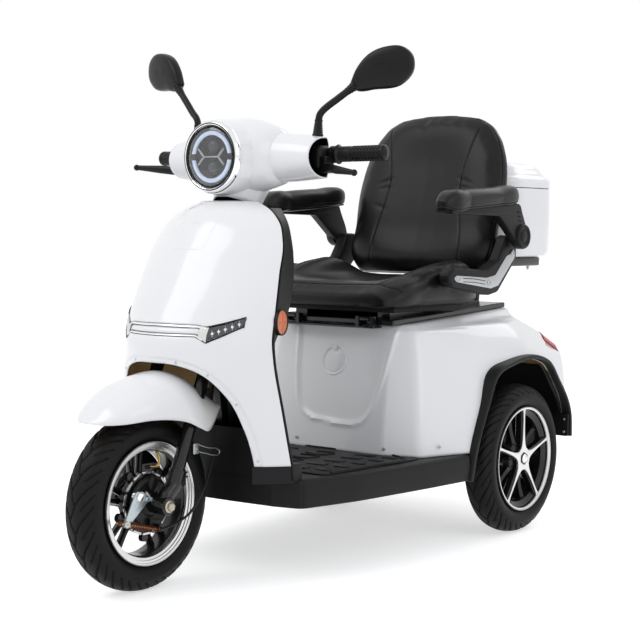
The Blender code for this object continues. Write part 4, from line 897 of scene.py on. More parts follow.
def tyre(name, centre, body, node, turn):
    """A road tyre with real grooves in its crown."""
    depth = bpy.context.scene.scooter_sizes.tread
    half = TYRE_HALF
    shape = np.array([
        (RIM_R - 0.006, half - 0.016), (RIM_R + 0.001, half - 0.010), (RIM_R + 0.012, half - 0.002),
        (RIM_R + 0.026, half), (TYRE_R - 0.020, half - 0.006), (TYRE_R - 0.0075, half * 0.66),
        (TYRE_R - 0.0015, half * 0.30), (TYRE_R, 0.0),
    ])
    full = np.concatenate([shape, shape[-2::-1] * (1, -1)])
    span = np.r_[0, np.cumsum(np.linalg.norm(np.diff(full, axis=0), axis=1))]
    span /= span[-1]
    around_steps, across_steps = 726, 64
    cut = {}

    def place(u, v):
        r, x = column(span, full[:, 0], v), column(span, full[:, 1], v)
        angle = 2 * np.pi * u
        side = np.clip(x / (half * 0.97), -1, 1) * np.where(r > TYRE_R - 0.024, 1.0, 1.2)
        deep = tread(side * turn, u * TREAD_PITCHES) * (r > TYRE_R - 0.026)
        cut["depth"] = deep
        rib = 0.0006 * (np.exp(-((r - 0.150) / 0.0012) ** 2) + np.exp(-((r - 0.172) / 0.0009) ** 2))
        push = rib - depth * deep
        rr = r + push * smoothstep(RIM_R + 0.03, TYRE_R - 0.012, r)
        xx = x + np.sign(x) * push * (1 - smoothstep(RIM_R + 0.03, TYRE_R - 0.012, r))
        return np.stack([centre.x + xx, centre.y + rr * np.sin(angle), centre.z + rr * np.cos(angle)], 1)

    bm = sheet(around_steps, across_steps, place)
    # The groove depth also sets the painted shade in the rubber's finish.
    layer = bm.verts.layers.float.new("groove")
    for vert, value in zip(bm.verts, cut["depth"]):
        vert[layer] = value
    bmesh.ops.remove_doubles(bm, verts=bm.verts, dist=MERGE)
    face_along(bm, lambda p: p - centre)
    return piece(name, bm, "tyre rubber", body, [node], sharp=60)


class SCOOTER_OT_tyres(bpy.types.Operator):
    """Three tyres with grooved crowns"""

    bl_idname = "scooter.tyres"
    bl_label = "Tyres"

    def execute(self, context):
        tyre("front_tread", FRONT_AXLE, "front_wheel", "front_tyre", 1)
        for side, sign in SIDES:
            tyre("rear_tread_" + side, rear_axle(sign), "rear_wheel_" + side, "rear_tyre_" + side, 1)
        return {"FINISHED"}


def around_axle(bm, centre, angle):
    """Turns a mesh about an axle that runs across the scooter."""
    bmesh.ops.rotate(bm, cent=centre, matrix=Matrix.Rotation(angle, 3, "X"), verts=bm.verts)
    return bm


def star_outline(widths, count=5):
    """Outline of a star of spokes in (y, z) round the origin, from (radius, half width) pairs."""
    points = []
    for i in range(count):
        angle = 2 * math.pi * i / count
        out = Vector((math.sin(angle), math.cos(angle)))
        side = Vector((out.y, -out.x))
        points += [out * r - side * w for r, w in widths] + [out * r + side * w for r, w in reversed(widths)]
    return points


class SCOOTER_OT_rims(bpy.types.Operator):
    """Cast rims: polished lips, black spokes and hubs"""

    bl_idname = "scooter.rims"
    bl_label = "Rims"

    def barrel(self, centre, steps=96):
        half = RIM_HALF
        profile = [
            (RIM_R - 0.002, half), (RIM_R, half - 0.002), (RIM_R - 0.001, half - 0.010),
            (RIM_R - 0.016, half - 0.016), (RIM_R - 0.018, 0.0), (RIM_R - 0.016, -half + 0.016),
            (RIM_R - 0.001, -half + 0.010), (RIM_R, -half + 0.002), (RIM_R - 0.002, -half),
            (RIM_R - 0.0065, -half + 0.003), (RIM_R - 0.0085, -half + 0.011), (RIM_R - 0.022, -half + 0.019),
            (RIM_R - 0.024, 0.0), (RIM_R - 0.022, half - 0.019), (RIM_R - 0.0085, half - 0.011),
            (RIM_R - 0.0065, half - 0.003),
        ]
        return spun(profile, centre, (1, 0, 0), steps, closed=True)

    def lip(self, centre, sign, steps_in):
        face = sign * RIM_HALF
        profile = [(RIM_R - 0.0005, face - sign * 0.003), (RIM_R - 0.0008, face + sign * 0.0006)]
        profile += [(RIM_R - r, face - sign * d) for r, d in steps_in]
        profile += [(profile[-1][0] - 0.0006, profile[-1][1] - sign * 0.003), (RIM_R - 0.002, face - sign * 0.006)]
        return spun(profile, centre, (1, 0, 0), 128, closed=True)

    def front(self):
        centre = FRONT_AXLE
        hub = [(0.0095, -0.034), (0.030, -0.034), (0.036, -0.030), (0.038, 0.0), (0.052, 0.004), (0.066, 0.006),
               (0.070, 0.010), (0.070, 0.024), (0.067, 0.0258), (0.0095, 0.0258)]
        parts = [(self.barrel(centre), 0), (spun(hub, centre, (1, 0, 0), 64, closed=True), 0)]
        for i in range(5):
            for lean in (-1, 1):
                root, tip = math.radians(14) * lean, math.radians(9) * lean
                start = centre + Vector((-0.010, math.sin(root) * 0.030, math.cos(root) * 0.030))
                end = centre + Vector((-0.016, math.sin(tip) * (RIM_R - 0.021), math.cos(tip) * (RIM_R - 0.021)))
                spoke = tube([start, end], (0.010, 0.0065, 0.0075), 10, 8, 1.5, Vector((0, 1, 0)))
                parts.append((around_axle(spoke, centre, 2 * math.pi * i / 5), 0))
        steps_in = ((0.002, 0.0002), (0.0060, 0.0006), (0.0066, 0.0030), (0.0118, 0.0036), (0.0124, 0.0062),
                    (0.0180, 0.0072), (0.0186, 0.0100))
        for sign in (1, -1):
            parts.append((self.lip(centre, sign, steps_in), 1))
        for i in range(14):
            bar = brick(centre + Vector((0.0235, -0.0125, 0.0660)), centre + Vector((0.0278, 0.0125, 0.0712)), 0.0008,
                        2)
            parts.append((around_axle(bar, centre, 2 * math.pi * i / 14), 1))
        for i in range(5):
            lump = spun([(0.0, 0.0), (0.0100, 0.0), (0.0092, 0.0110), (0.0, 0.0115)],
                        centre + Vector((0.010, 0.0, 0.0790)), (1, 0, 0), 20)
            parts.append((around_axle(lump, centre, 2 * math.pi * (i + 0.5) / 5), 0))
        stem = [centre + Vector(p) for p in ((0.010, 0.0285, 0.0765), (0.022, 0.0380, 0.0790),
                                             (0.026, 0.0405, 0.0900), (0.014, 0.0405, 0.1140))]
        parts.append((tube(stem, 0.0034, 12, 24), 2))
        parts.append((tube([stem[0] - Vector((0.010, 0.008, 0.002)), stem[0]], (0.0040, 0.0044, 0.0042), 12, 6), 0))
        piece("front_rim_cast", gather(*parts), ("black paint", "machined", "brass"), "front_wheel",
              ["front_rim"])

    def rear(self, side, sign):
        centre = rear_axle(sign)
        hub = [(0.013, -0.030), (0.034, -0.030), (0.040, -0.024), (0.050, 0.0), (0.044, 0.016), (0.030, 0.024),
               (0.013, 0.024)]
        hub = [(r, sign * a) for r, a in hub]
        parts = [(self.barrel(centre), 0), (spun(hub, centre, (1, 0, 0), 64, closed=True), 0)]
        for i in range(10):
            start = centre + Vector((-sign * 0.002, 0, 0.036))
            end = centre + Vector((-sign * 0.004, 0, RIM_R - 0.022))
            vane = tube([start, end], (0.011, 0.0085, 0.011), 8, 6, 2.0, Vector((0, 1, 0)))
            parts.append((around_axle(vane, centre, 2 * math.pi * (i + 0.5) / 10), 0))
        star = star_outline(((0.029, 0.0120), (0.038, 0.0082), (0.052, 0.0054), (0.075, 0.0038), (0.105, 0.0030),
                             (0.124, 0.0036), (0.1335, 0.0066)))
        face = sorted((sign * (RIM_HALF - 0.0095), sign * (RIM_HALF - 0.0035)))
        plate = slab(star, face[0], face[1], "X", 0.0011, 2)
        bmesh.ops.translate(plate, vec=centre, verts=plate.verts)
        parts.append((plate, 1))
        rib = slab(star_outline(((0.028, 0.0105), (0.050, 0.0058), (0.080, 0.0048), (0.132, 0.0052))),
                   *sorted((sign * 0.012, sign * (RIM_HALF - 0.009))), "X", 0.0015, 1)
        bmesh.ops.translate(rib, vec=centre, verts=rib.verts)
        parts.append((rib, 0))
        parts.append((self.lip(centre, sign, ((0.002, 0.0004), (0.0066, 0.0010), (0.0076, 0.0030))), 1))
        nut = [(0.0, 0.0465), (0.006, 0.0455), (0.0105, 0.0425), (0.0125, 0.039), (0.0135, 0.034), (0.020, 0.0335),
               (0.021, 0.030), (0.0, 0.030)]
        parts.append((spun([(r, sign * a) for r, a in nut], centre, (1, 0, 0), 48), 2))
        piece("rear_rim_cast_" + side, gather(*parts), ("black paint", "machined", "chrome"), "rear_wheel_" + side,
              ["rear_rim_" + side])

    def execute(self, context):
        self.front()
        for side, sign in SIDES:
            self.rear(side, sign)
        return {"FINISHED"}


# Handlebar cover and headlamp

# x, y, z, depth and height of the handlebar arms; the dome in the middle stands a little outside them.
ARM_STATIONS = (
    (0.000, -0.322, 0.983, 0.062, 0.062), (0.070, -0.314, 0.983, 0.062, 0.060), (0.110, -0.303, 0.982, 0.062, 0.0585),
    (0.150, -0.2935, 0.981, 0.0610, 0.0555), (0.190, -0.2890, 0.9803, 0.0635, 0.0510),
    (0.219, -0.2867, 0.980, 0.0652, 0.0478),
)
DOME_STATIONS = (
    (0.000, -0.330, 0.986, 0.0940, 0.0900), (0.030, -0.330, 0.986, 0.0930, 0.0895),
    (0.060, -0.326, 0.985, 0.0895, 0.0840), (0.085, -0.319, 0.984, 0.0815, 0.0750),
    (0.104, -0.310, 0.983, 0.0705, 0.0650), (0.116, -0.305, 0.982, 0.0560, 0.0540),
)


def oval_loft(stations, rows, around=64):
    """Skin over ovals that stand across the scooter, given for one side and mirrored."""
    half = np.array(stations)
    full = np.concatenate([half[:0:-1] * (-1, 1, 1, 1, 1), half])
    way = full[:, 0]
    at = np.linspace(way[0], way[-1], rows + 1)
    y, z, depth, height = (column(way, full[:, k], at) for k in (1, 2, 3, 4))

    def place(u, v):
        i = np.rint(v * rows).astype(int)
        angle = 2 * np.pi * u
        return np.stack([at[i], y[i] + depth[i] * np.cos(angle), z[i] + height[i] * np.sin(angle)], 1)

    bm = sheet(around, rows, place, closed=True)
    face_along(bm, lambda p: Vector((0.0, p.y + 0.31, p.z - 0.983)))
    return bm


class SCOOTER_OT_handlebar_cover(bpy.types.Operator):
    """White handlebar cover: dome, open-ended arms, lamp cup and neck"""

    bl_idname = "scooter.handlebar_cover"
    bl_label = "Handlebar cover"

    def execute(self, context):
        arms = oval_loft(ARM_STATIONS, 90)
        trim(arms, lambda p: (0.219 - abs(p.x)) * 1.7 - 0.284 - p.y)
        dome = oval_loft(DOME_STATIONS, 60)
        cup = spun(
            [(0.0835, 0.016), (0.0870, 0.020), (0.0885, 0.030), (0.0905, 0.050), (0.0900, 0.075), (0.086, 0.100),
             (0.070, 0.130)],
            LAMP, (0, 1, 0), 96)
        neck = spun(
            [(0.0570, 0.0), (0.0590, 0.012), (0.0640, 0.040), (0.0700, 0.066), (0.0770, 0.086)],
            steering_point(NECK_Z), STEER_UP, 10)
        bmesh.ops.bevel(
            neck, geom=[e
                        for e in neck.edges if abs((e.verts[0].co - e.verts[1].co).normalized().dot(STEER_UP)) > 0.8],
            offset=0.006, offset_type="OFFSET", segments=3, profile=0.5, affect="EDGES", material=-1)
        made = piece("handlebar_cover", gather(arms, dome, cup, neck), ("white gloss", "matt black"), "steering",
                     ["nacelle"], sharp=30)
        thicken(made, 0.0025)
        return {"FINISHED"}


class SCOOTER_OT_headlamp(bpy.types.Operator):
    """Round headlamp: chrome bezel, split light ring, two projectors and a forked trim"""

    bl_idname = "scooter.headlamp"
    bl_label = "Headlamp"

    def disc(self, profile, steps=96):
        return spun(profile, LAMP, (0, 1, 0), steps)

    def execute(self, context):
        bezel = self.disc([
            (0.0835, 0.022), (0.0850, 0.016), (0.0848, 0.009), (0.0825, 0.0035), (0.0795, 0.0008), (0.0765, 0.0000),
            (0.0748, 0.0012), (0.0738, 0.0048), (0.0728, 0.0052), (0.0722, 0.0150)])
        for face in bezel.faces:
            middle = face.calc_center_median() - LAMP
            face.material_index = int(0.0760 < math.hypot(middle.x, middle.z) < 0.0800)
        piece("lamp_bezel", bezel, ("chrome", "smooth black"), "steering", ["headlamp_bezel"])
        gasket = self.disc([(0.0735, 0.0062), (0.0725, 0.0030), (0.0695, 0.0026), (0.0680, 0.0045), (0.0675, 0.015)])
        bowl = self.disc([
            (0.0675, 0.0060), (0.0640, 0.0095), (0.0620, 0.0105), (0.0500, 0.0110), (0.0480, 0.0150), (0.0, 0.0150)])
        piece("lamp_bowl", gather((gasket, 0), (bowl, 0)), "smooth black", "steering")
        ring = spun([(0.0505, 0.0085), (0.0520, 0.0062), (0.0590, 0.0062), (0.0608, 0.0085), (0.0600, 0.0115),
                     (0.0510, 0.0115)],
                    LAMP, (0, 1, 0), 128, closed=True)
        trim(ring, lambda p: abs(p.z - LAMP.z) - 0.0075)
        piece("lamp_halo", cap_ends(ring), "halo", "steering")
        arm = 0.0016
        trims = [brick((-0.024, LAMP.y + 0.0050, LAMP.z - 0.0018), (0.024, LAMP.y + 0.0100, LAMP.z + 0.0018), 0.0008)]
        for sx in (1, -1):
            for sz in (1, -1):
                start = LAMP + Vector((sx * 0.022, 0.0075, 0.0))
                knee = LAMP + Vector((sx * 0.040, 0.0072, sz * 0.0190))
                trims.append(tube([start, start.lerp(knee, 0.5), knee], (arm * 1.2, arm * 1.5, arm), 8, 6, 1.3,
                                  Vector((0, 1, 0))))
        piece("lamp_trim", gather(*trims), "silver", "steering")
        bulbs = []
        for sz in (1, -1):
            eye = LAMP + Vector((0.0, 0.0155, sz * 0.0245))
            bulbs.append((spun([(0.0, -0.0095), (0.0070, -0.0085), (0.0130, -0.0050), (0.0160, 0.0)], eye, (0, 1, 0),
                               40), 0))
            bulbs.append((spun([(0.0160, -0.0020), (0.0195, -0.0030), (0.0215, 0.0), (0.0160, 0.0)], eye, (0, 1, 0),
                               40, closed=True), 1))
        piece("lamp_projectors", gather(*bulbs), ("clear lens", "smooth black"), "steering")
        cover = self.disc([(0.0690, 0.0060), (0.0680, 0.0035), (0.0600, 0.0005), (0.0400, -0.0012), (0.0, -0.0020)])
        made = piece("lamp_glass", cover, "clear lens", "steering", ["headlamp_lens"])
        thicken(made, 0.0015, 0)
        return {"FINISHED"}


# Soft parts


def linked(name, bm):
    """A mesh as an object of the scene, for modifiers to work on."""
    mesh = bpy.data.meshes.new(name)
    bm.to_mesh(mesh)
    bm.free()
    made = bpy.data.objects.new(name, mesh)
    bpy.context.scene.collection.objects.link(made)
    return made


def settle(made):
    """Takes what an object's modifiers give as its own mesh."""
    graph = bpy.context.evaluated_depsgraph_get()
    mesh = bpy.data.meshes.new_from_object(made.evaluated_get(graph))
    made.modifiers.clear()
    old, made.data = made.data, mesh
    bpy.data.meshes.remove(old)


def spots(mesh):
    flat = np.empty(len(mesh.vertices) * 3)
    mesh.vertices.foreach_get("co", flat)
    return flat.reshape(-1, 3)


def swollen(bm, voxel, reach, give):
    """A padded form: remeshed, blown up as cloth and smoothed. No point moves further than reach times give."""
    made = linked("soft", bm)
    step = made.modifiers.new("voxels", "REMESH")
    step.mode, step.voxel_size = "VOXEL", voxel
    settle(made)
    before = spots(made.data)
    cloth = made.modifiers.new("cloth", "CLOTH")
    cloth.settings.quality = 4
    cloth.settings.use_pressure = True
    cloth.settings.uniform_pressure_force = 4.0
    cloth.settings.effector_weights.gravity = 0.0
    for number in range(1, 21):
        bpy.context.scene.frame_set(number)
    settle(made)
    bpy.context.scene.frame_set(1)
    push = spots(made.data) - before
    size = np.maximum(np.linalg.norm(push, axis=1), 1e-9)
    limit = np.minimum(1.0, reach / size) * give(before)
    made.data.vertices.foreach_set("co", (before + push * limit[:, None]).ravel())
    made.data.update()
    even = made.modifiers.new("even", "SMOOTH")
    even.factor, even.iterations = 0.5, 5
    smooth = made.modifiers.new("round", "SUBSURF")
    smooth.levels = smooth.render_levels = 1
    settle(made)
    out = bmesh.new()
    out.from_mesh(made.data)
    bpy.data.objects.remove(made, do_unlink=True)
    return out


def sew(bm, lines, width=0.0025, depth=0.0019):
    """Presses seams into a padded form and returns their threads; each line is points near its skin."""
    tree = BVHTree.FromBMesh(bm)
    bm.normal_update()
    here = np.array([vert.co for vert in bm.verts])
    out = np.array([vert.normal for vert in bm.verts])
    push = np.zeros(len(here))
    threads = []
    for points in lines:
        rough = smooth_path(points, 40)
        length = sum((b - a).length for a, b in zip(rough, rough[1:]))
        line = [tree.find_nearest(p)[0] for p in smooth_path(points, max(8, int(length / 0.0025)))]
        near = np.full(len(here), 9.0)
        for p in line:
            near = np.minimum(near, np.linalg.norm(here - np.array(p), axis=1))
        dip, bank = np.exp(-((near / width) ** 2)), np.exp(-((near / width - 2.6) ** 2))
        push = np.maximum(push, depth * dip - 0.25 * depth * bank)
        inward = [p - tree.find_nearest(p)[1] * (depth * 0.75) for p in line]
        threads.append(tube(inward, 0.0009, 6, 2))
    for vert, normal, shift in zip(bm.verts, out, push):
        vert.co -= Vector(normal) * shift
    return threads


# y, half width, height of the sides and of the middle of the seat cushion.
CUSHION_STATIONS = (
    (-0.028, 0.215, 0.655, 0.652), (0.010, 0.240, 0.678, 0.674), (0.100, 0.248, 0.704, 0.676),
    (0.220, 0.250, 0.730, 0.680), (0.330, 0.248, 0.730, 0.688), (0.375, 0.235, 0.705, 0.690),
)
CUSHION_Z = 0.618
# Distance up the seat back, half width and thickness.
BACK_STATIONS = (
    (-0.004, 0.206, 0.052), (0.022, 0.231, 0.074), (0.140, 0.247, 0.082), (0.270, 0.249, 0.082),
    (0.350, 0.231, 0.080), (0.405, 0.201, 0.074), (0.438, 0.166, 0.062), (0.456, 0.120, 0.046), (0.465, 0.050, 0.034),
)
BACK_FOOT = Vector((0.0, 0.392, 0.700))
BACK_TILT = math.radians(15)
BACK_DEPTH = 0.082
# y, low edge, high edge and half width of an arm pad.
PAD_STATIONS = (
    (0.098, 0.8660, 0.890, 0.018), (0.112, 0.8610, 0.903, 0.027), (0.200, 0.8655, 0.914, 0.032),
    (0.340, 0.8755, 0.926, 0.032), (0.430, 0.8835, 0.933, 0.029), (0.448, 0.8880, 0.928, 0.023),
)
ARM_X = 0.291


def read(stations, count):
    """Rows of a table, read smoothly at even steps of its first column."""
    table = np.array(stations)
    at = np.linspace(table[0, 0], table[-1, 0], count)
    return np.stack([at] + [column(table[:, 0], table[:, k], at) for k in range(1, table.shape[1])], 1)


def back_place(x, deep, along):
    """A point of the seat back from its own directions: across, from its front face rearwards, and up it."""
    up = Vector((0.0, math.sin(BACK_TILT), math.cos(BACK_TILT)))
    rear = Vector((0.0, math.cos(BACK_TILT), -math.sin(BACK_TILT)))
    return BACK_FOOT + up * along + rear * deep + Vector((x, 0.0, 0.0))


class SCOOTER_OT_seat(bpy.types.Operator):
    """Seat cushion and back in leatherette, swollen as cloth and sewn"""

    bl_idname = "scooter.seat"
    bl_label = "Seat"

    def cushion(self, sizes):
        rings = []
        for y, half, side, middle in read(CUSHION_STATIONS, 34):
            half, side, middle = half - 0.004, side - 0.004, middle - 0.004
            rise = side - middle
            line = [
                (0.0, CUSHION_Z), (half * 0.6, CUSHION_Z), (half - 0.020, CUSHION_Z + 0.001),
                (half - 0.004, CUSHION_Z + 0.010), (half, CUSHION_Z + 0.024), (half - 0.003, side - 0.022),
                (half - 0.016, side - 0.005), (half - 0.036, side), (half - 0.068, side - 0.22 * rise),
                (half * 0.56, middle + 0.22 * rise), (half * 0.36, middle + 0.02 * rise), (0.0, middle),
            ]
            rings.append(both_halves(smooth_path([(x, 0.0, z) for x, z in line], 44), y))
        bm = swollen(ringed(rings), sizes.voxel, sizes.puff,
                     lambda p: smoothstep(CUSHION_Z, CUSHION_Z + 0.05, p[:, 2]))
        edge = [(x, 0.006 + 0.004 * abs(x) / 0.15, 0.672) for x in (-0.165, -0.08, 0.0, 0.08, 0.165)]
        bolster = [(0.165, 0.010, 0.678), (0.182, 0.040, 0.700), (0.196, 0.100, 0.715), (0.203, 0.200, 0.735),
                   (0.203, 0.300, 0.738), (0.190, 0.372, 0.700)]
        corner = [(0.165, 0.010, 0.678), (0.200, 0.004, 0.672), (0.232, 0.020, 0.660)]
        lines = [edge] + [[(s * x, y, z) for x, y, z in line] for line in (bolster, corner) for s in (1, -1)]
        threads = sew(bm, lines)
        made = piece("cushion_cover", bm, "leatherette", "seat", ["seat_cushion"], sharp=70)
        piece("cushion_seams", gather(*threads), "stitching", "seat")
        piece("seat_pan", brick((-0.212, 0.010, 0.6040), (0.212, 0.330, 0.6185), 0.003), "matt black", "seat")

    def back(self, sizes):
        rings = []
        for along, half, thick in read(BACK_STATIONS, 72):
            half, thick = half - 0.004, thick - 0.006
            ring = []
            for k in range(88):
                a = 2 * math.pi * k / 88
                c, s = math.cos(a), math.sin(a)
                x = half * math.copysign(abs(c) ** (2 / 3.6), c)
                deep = BACK_DEPTH / 2 - 0.003 + thick / 2 * math.copysign(abs(s) ** (2 / 2.8), s)
                if s < 0:
                    hollow = float(smoothstep(0.0, 0.12, along) * (1 - smoothstep(0.30, 0.44, along)))
                    deep += 0.012 * hollow * max(0.0, 1 - (x / (0.62 * half)) ** 2) ** 1.5
                ring.append(back_place(x, deep, along))
            rings.append(ring)
        bm = swollen(ringed(rings), sizes.voxel, sizes.puff, lambda p: np.ones(len(p)))
        seam_x = ((0.018, 0.150), (0.110, 0.142), (0.200, 0.124), (0.275, 0.119), (0.350, 0.134), (0.415, 0.152))
        seams = [[back_place(s * x, 0.0, along) for along, x in seam_x] for s in (1, -1)]
        edges = [
            [back_place(s * (half - 0.006), BACK_DEPTH / 2 - thick * 0.24, along)
             for along, half, thick in BACK_STATIONS[1:-2]]
            for s in (1, -1)
        ]
        over = [back_place(x, 0.018, 0.466 - 1.1 * x * x) for x in (-0.140, -0.09, -0.04, 0.04, 0.09, 0.140)]
        threads = sew(bm, [*seams, *edges, over])
        self.pucker(bm, seam_x)
        made = piece("back_cover", bm, "leatherette", "seat", ["seat_back"], sharp=70)
        piece("back_seams", gather(*threads), "stitching", "seat")

    def pucker(self, bm, seam_x):
        """Short creases that run outwards from the back's seams at mid height."""
        for vert in bm.verts:
            local = vert.co - BACK_FOOT
            along = local.y * math.sin(BACK_TILT) + local.z * math.cos(BACK_TILT)
            deep = local.y * math.cos(BACK_TILT) - local.z * math.sin(BACK_TILT)
            if deep > 0.04:
                continue
            away = abs(vert.co.x) - float(np.interp(along, *np.array(seam_x).T))
            for up, slope, size in ((0.262, -0.35, 0.0022), (0.240, -0.15, 0.0016), (0.180, 0.25, 0.0012)):
                reach = math.exp(-((away - 0.012) / 0.020) ** 2)
                crease = math.exp(-((along - up - slope * away) / 0.0065) ** 2)
                vert.co -= vert.normal * (size * reach * crease)

    def execute(self, context):
        sizes = context.scene.scooter_sizes
        self.cushion(sizes)
        self.back(sizes)
        return {"FINISHED"}


# Outline of an arm's moulding as (y, z), and of the bracket that carries it.
ARM_OUTLINE = (
    (0.112, 0.855), (0.340, 0.851), (0.420, 0.792), (0.459, 0.763), (0.492, 0.790), (0.480, 0.822), (0.458, 0.860),
    (0.446, 0.8855), (0.340, 0.8765), (0.200, 0.8665), (0.112, 0.8625),
)
BRACKET_OUTLINE = (
    (0.150, 0.700), (0.176, 0.718), (0.330, 0.708), (0.392, 0.735), (0.420, 0.775), (0.432, 0.800), (0.486, 0.800),
    (0.486, 0.735), (0.392, 0.648), (0.350, 0.641), (0.172, 0.668), (0.150, 0.682),
)
ARM_PIVOT = Vector((0.0, 0.459, 0.797))


class SCOOTER_OT_armrests(bpy.types.Operator):
    """Folding arms: sewn pads, mouldings, round pivots and silver-faced brackets"""

    bl_idname = "scooter.armrests"
    bl_label = "Armrests"

    def pad(self, side, sign):
        rings = []
        for y, low, high, half in read(PAD_STATIONS, 26):
            half, high = half - 0.002, high - 0.002
            line = [
                (0.0, low), (half * 0.75, low), (half * 0.95, low + 0.003), (half, low + (high - low) * 0.35),
                (half * 0.95, low + (high - low) * 0.72), (half * 0.72, high - 0.002), (half * 0.35, high),
                (0.0, high),
            ]
            rings.append(both_halves(smooth_path([(x, 0.0, z) for x, z in line], 22), y, sign * ARM_X))
        bm = swollen(
            ringed(rings), 0.004, 0.005,
            lambda p: smoothstep(0.0, 0.010, p[:, 2] - np.interp(p[:, 1], (0.098, 0.448), (0.862, 0.885))))
        loop = [(sign * ARM_X + s * half, y, low + 0.0065)
                for s, rows in ((1, PAD_STATIONS), (-1, PAD_STATIONS[::-1]))
                for y, low, _, half in rows]
        loop.append(loop[0])
        threads = sew(bm, [loop], 0.0026, 0.0018)
        made = piece("armpad_cover_" + side, bm, "leatherette", "armrest_" + side, ["armpad_" + side],
                     sharp=70)
        piece("armpad_seam_" + side, gather(*threads), "stitching", "armrest_" + side)

    def moulding(self, side, sign):
        line = rounded(ARM_OUTLINE, 0.022, steps=5)
        low, high = sorted((sign * 0.2925, sign * 0.3175))
        arm = slab(line, low, high, "X", 0.0045, 3)
        tray = []
        for y, z, half in ((0.104, 0.8610, 0.020), (0.200, 0.8635, 0.026), (0.340, 0.8735, 0.025),
                           (0.440, 0.8835, 0.021)):
            tray.append([(sign * ARM_X + half * math.cos(a), y, z + 0.0045 * math.sin(a))
                         for a in (2 * math.pi * k / 24 for k in range(24))])
        pivot = Vector((sign * 0.3000, ARM_PIVOT.y, ARM_PIVOT.z))
        hub = spun(
            [(0.0, 0.0), (0.0335, 0.0), (0.034, 0.004), (0.034, 0.020), (0.0315, 0.0245), (0.0265, 0.0255),
             (0.0245, 0.0225), (0.0225, 0.0215), (0.0175, 0.0215), (0.0165, 0.0230), (0.0120, 0.0248), (0.0, 0.0255)],
            pivot, (sign, 0, 0), 56)
        slots = []
        for k in range(3):
            centre = Vector((sign * 0.3177, 0.4385 + 0.0035 * k, 0.862 - 0.0115 * k))
            turn = Matrix.Rotation(math.radians(-8), 3, "X")
            slots.append(brick(centre - Vector((0.0012, 0.0085, 0.0016)), centre + Vector((0.0012, 0.0085, 0.0016)),
                               0.0008, 2, turn))
        piece(
            "arm_" + side, gather((arm, 0), (ringed(tray), 0), (hub, 0), *[(s, 1) for s in slots]),
            ("black plastic", "matt black"), "armrest_" + side, ["armrest_" + side])

    def bracket(self, side, sign):
        line = rounded(BRACKET_OUTLINE, 0.026, steps=6)
        low, high = sorted((sign * 0.2510, sign * 0.2850))
        plate = slab(line, low, high, "X", 0.0070, 4)
        inner = rounded(
            [(0.172, 0.690), (0.182, 0.697), (0.330, 0.688), (0.374, 0.694), (0.430, 0.744), (0.472, 0.756),
             (0.474, 0.740), (0.390, 0.666), (0.352, 0.659), (0.182, 0.680)], 0.016, steps=6)
        low, high = sorted((sign * 0.2830, sign * 0.2864))
        inlay = slab(inner, low, high, "X", 0.0010, 2)
        lines = []
        for lift in (-0.0045, 0.0045):
            path = [(sign * 0.2864, y, z + lift) for y, z in ((0.214, 0.6845), (0.270, 0.6815), (0.322, 0.6755))]
            lines.append(tube(path, 0.0010, 6, 12))
        bolts = [screw((sign * 0.2862, y, z), (sign, 0, 0), 0.0082, 0.0030)
                 for y, z in ((0.190, 0.6870), (0.342, 0.6745), (0.462, 0.7530))]
        piece(
            "bracket_" + side, gather((plate, 0), (inlay, 1), *[(b, 2) for b in lines], *[(b, 1) for b in bolts]),
            ("black plastic", "silver", "matt black"), "seat", ["seat_bracket_" + side])

    def execute(self, context):
        for side, sign in SIDES:
            self.pad(side, sign)
            self.moulding(side, sign)
            self.bracket(side, sign)
        return {"FINISHED"}


# Mirrors, grips and levers

MIRROR_CENTRE = Vector((0.344, -0.236, 1.196))
MIRROR_TURN = math.radians(16)
# The mirror's outline in its own (x, z), and how much each side's head stands up or down.
MIRROR_OUTLINE = (
    (-0.080, -0.034), (-0.068, -0.047), (-0.020, -0.047), (0.047, -0.036), (0.073, -0.008),
    (0.070, 0.032), (0.046, 0.050), (0.010, 0.051), (-0.032, 0.036), (-0.064, 0.002),
)
MIRROR_LIFT = {"left": -0.013, "right": 0.014}
GRIP_START, GRIP_END, GRIP_R = 0.228, 0.354, 0.0188
# Where the ball end of each side's lever lies, with x away from the middle.
LEVER_BALLS = {"left": (0.3290, -0.322, 0.9422), "right": (0.3599, -0.322, 0.9648)}


def bar_point(x):
    """The middle of the handlebar."""
    share = abs(x) / GRIP_END
    return Vector((x, -0.285 + 0.055 * share, 0.985 + 0.006 * share))


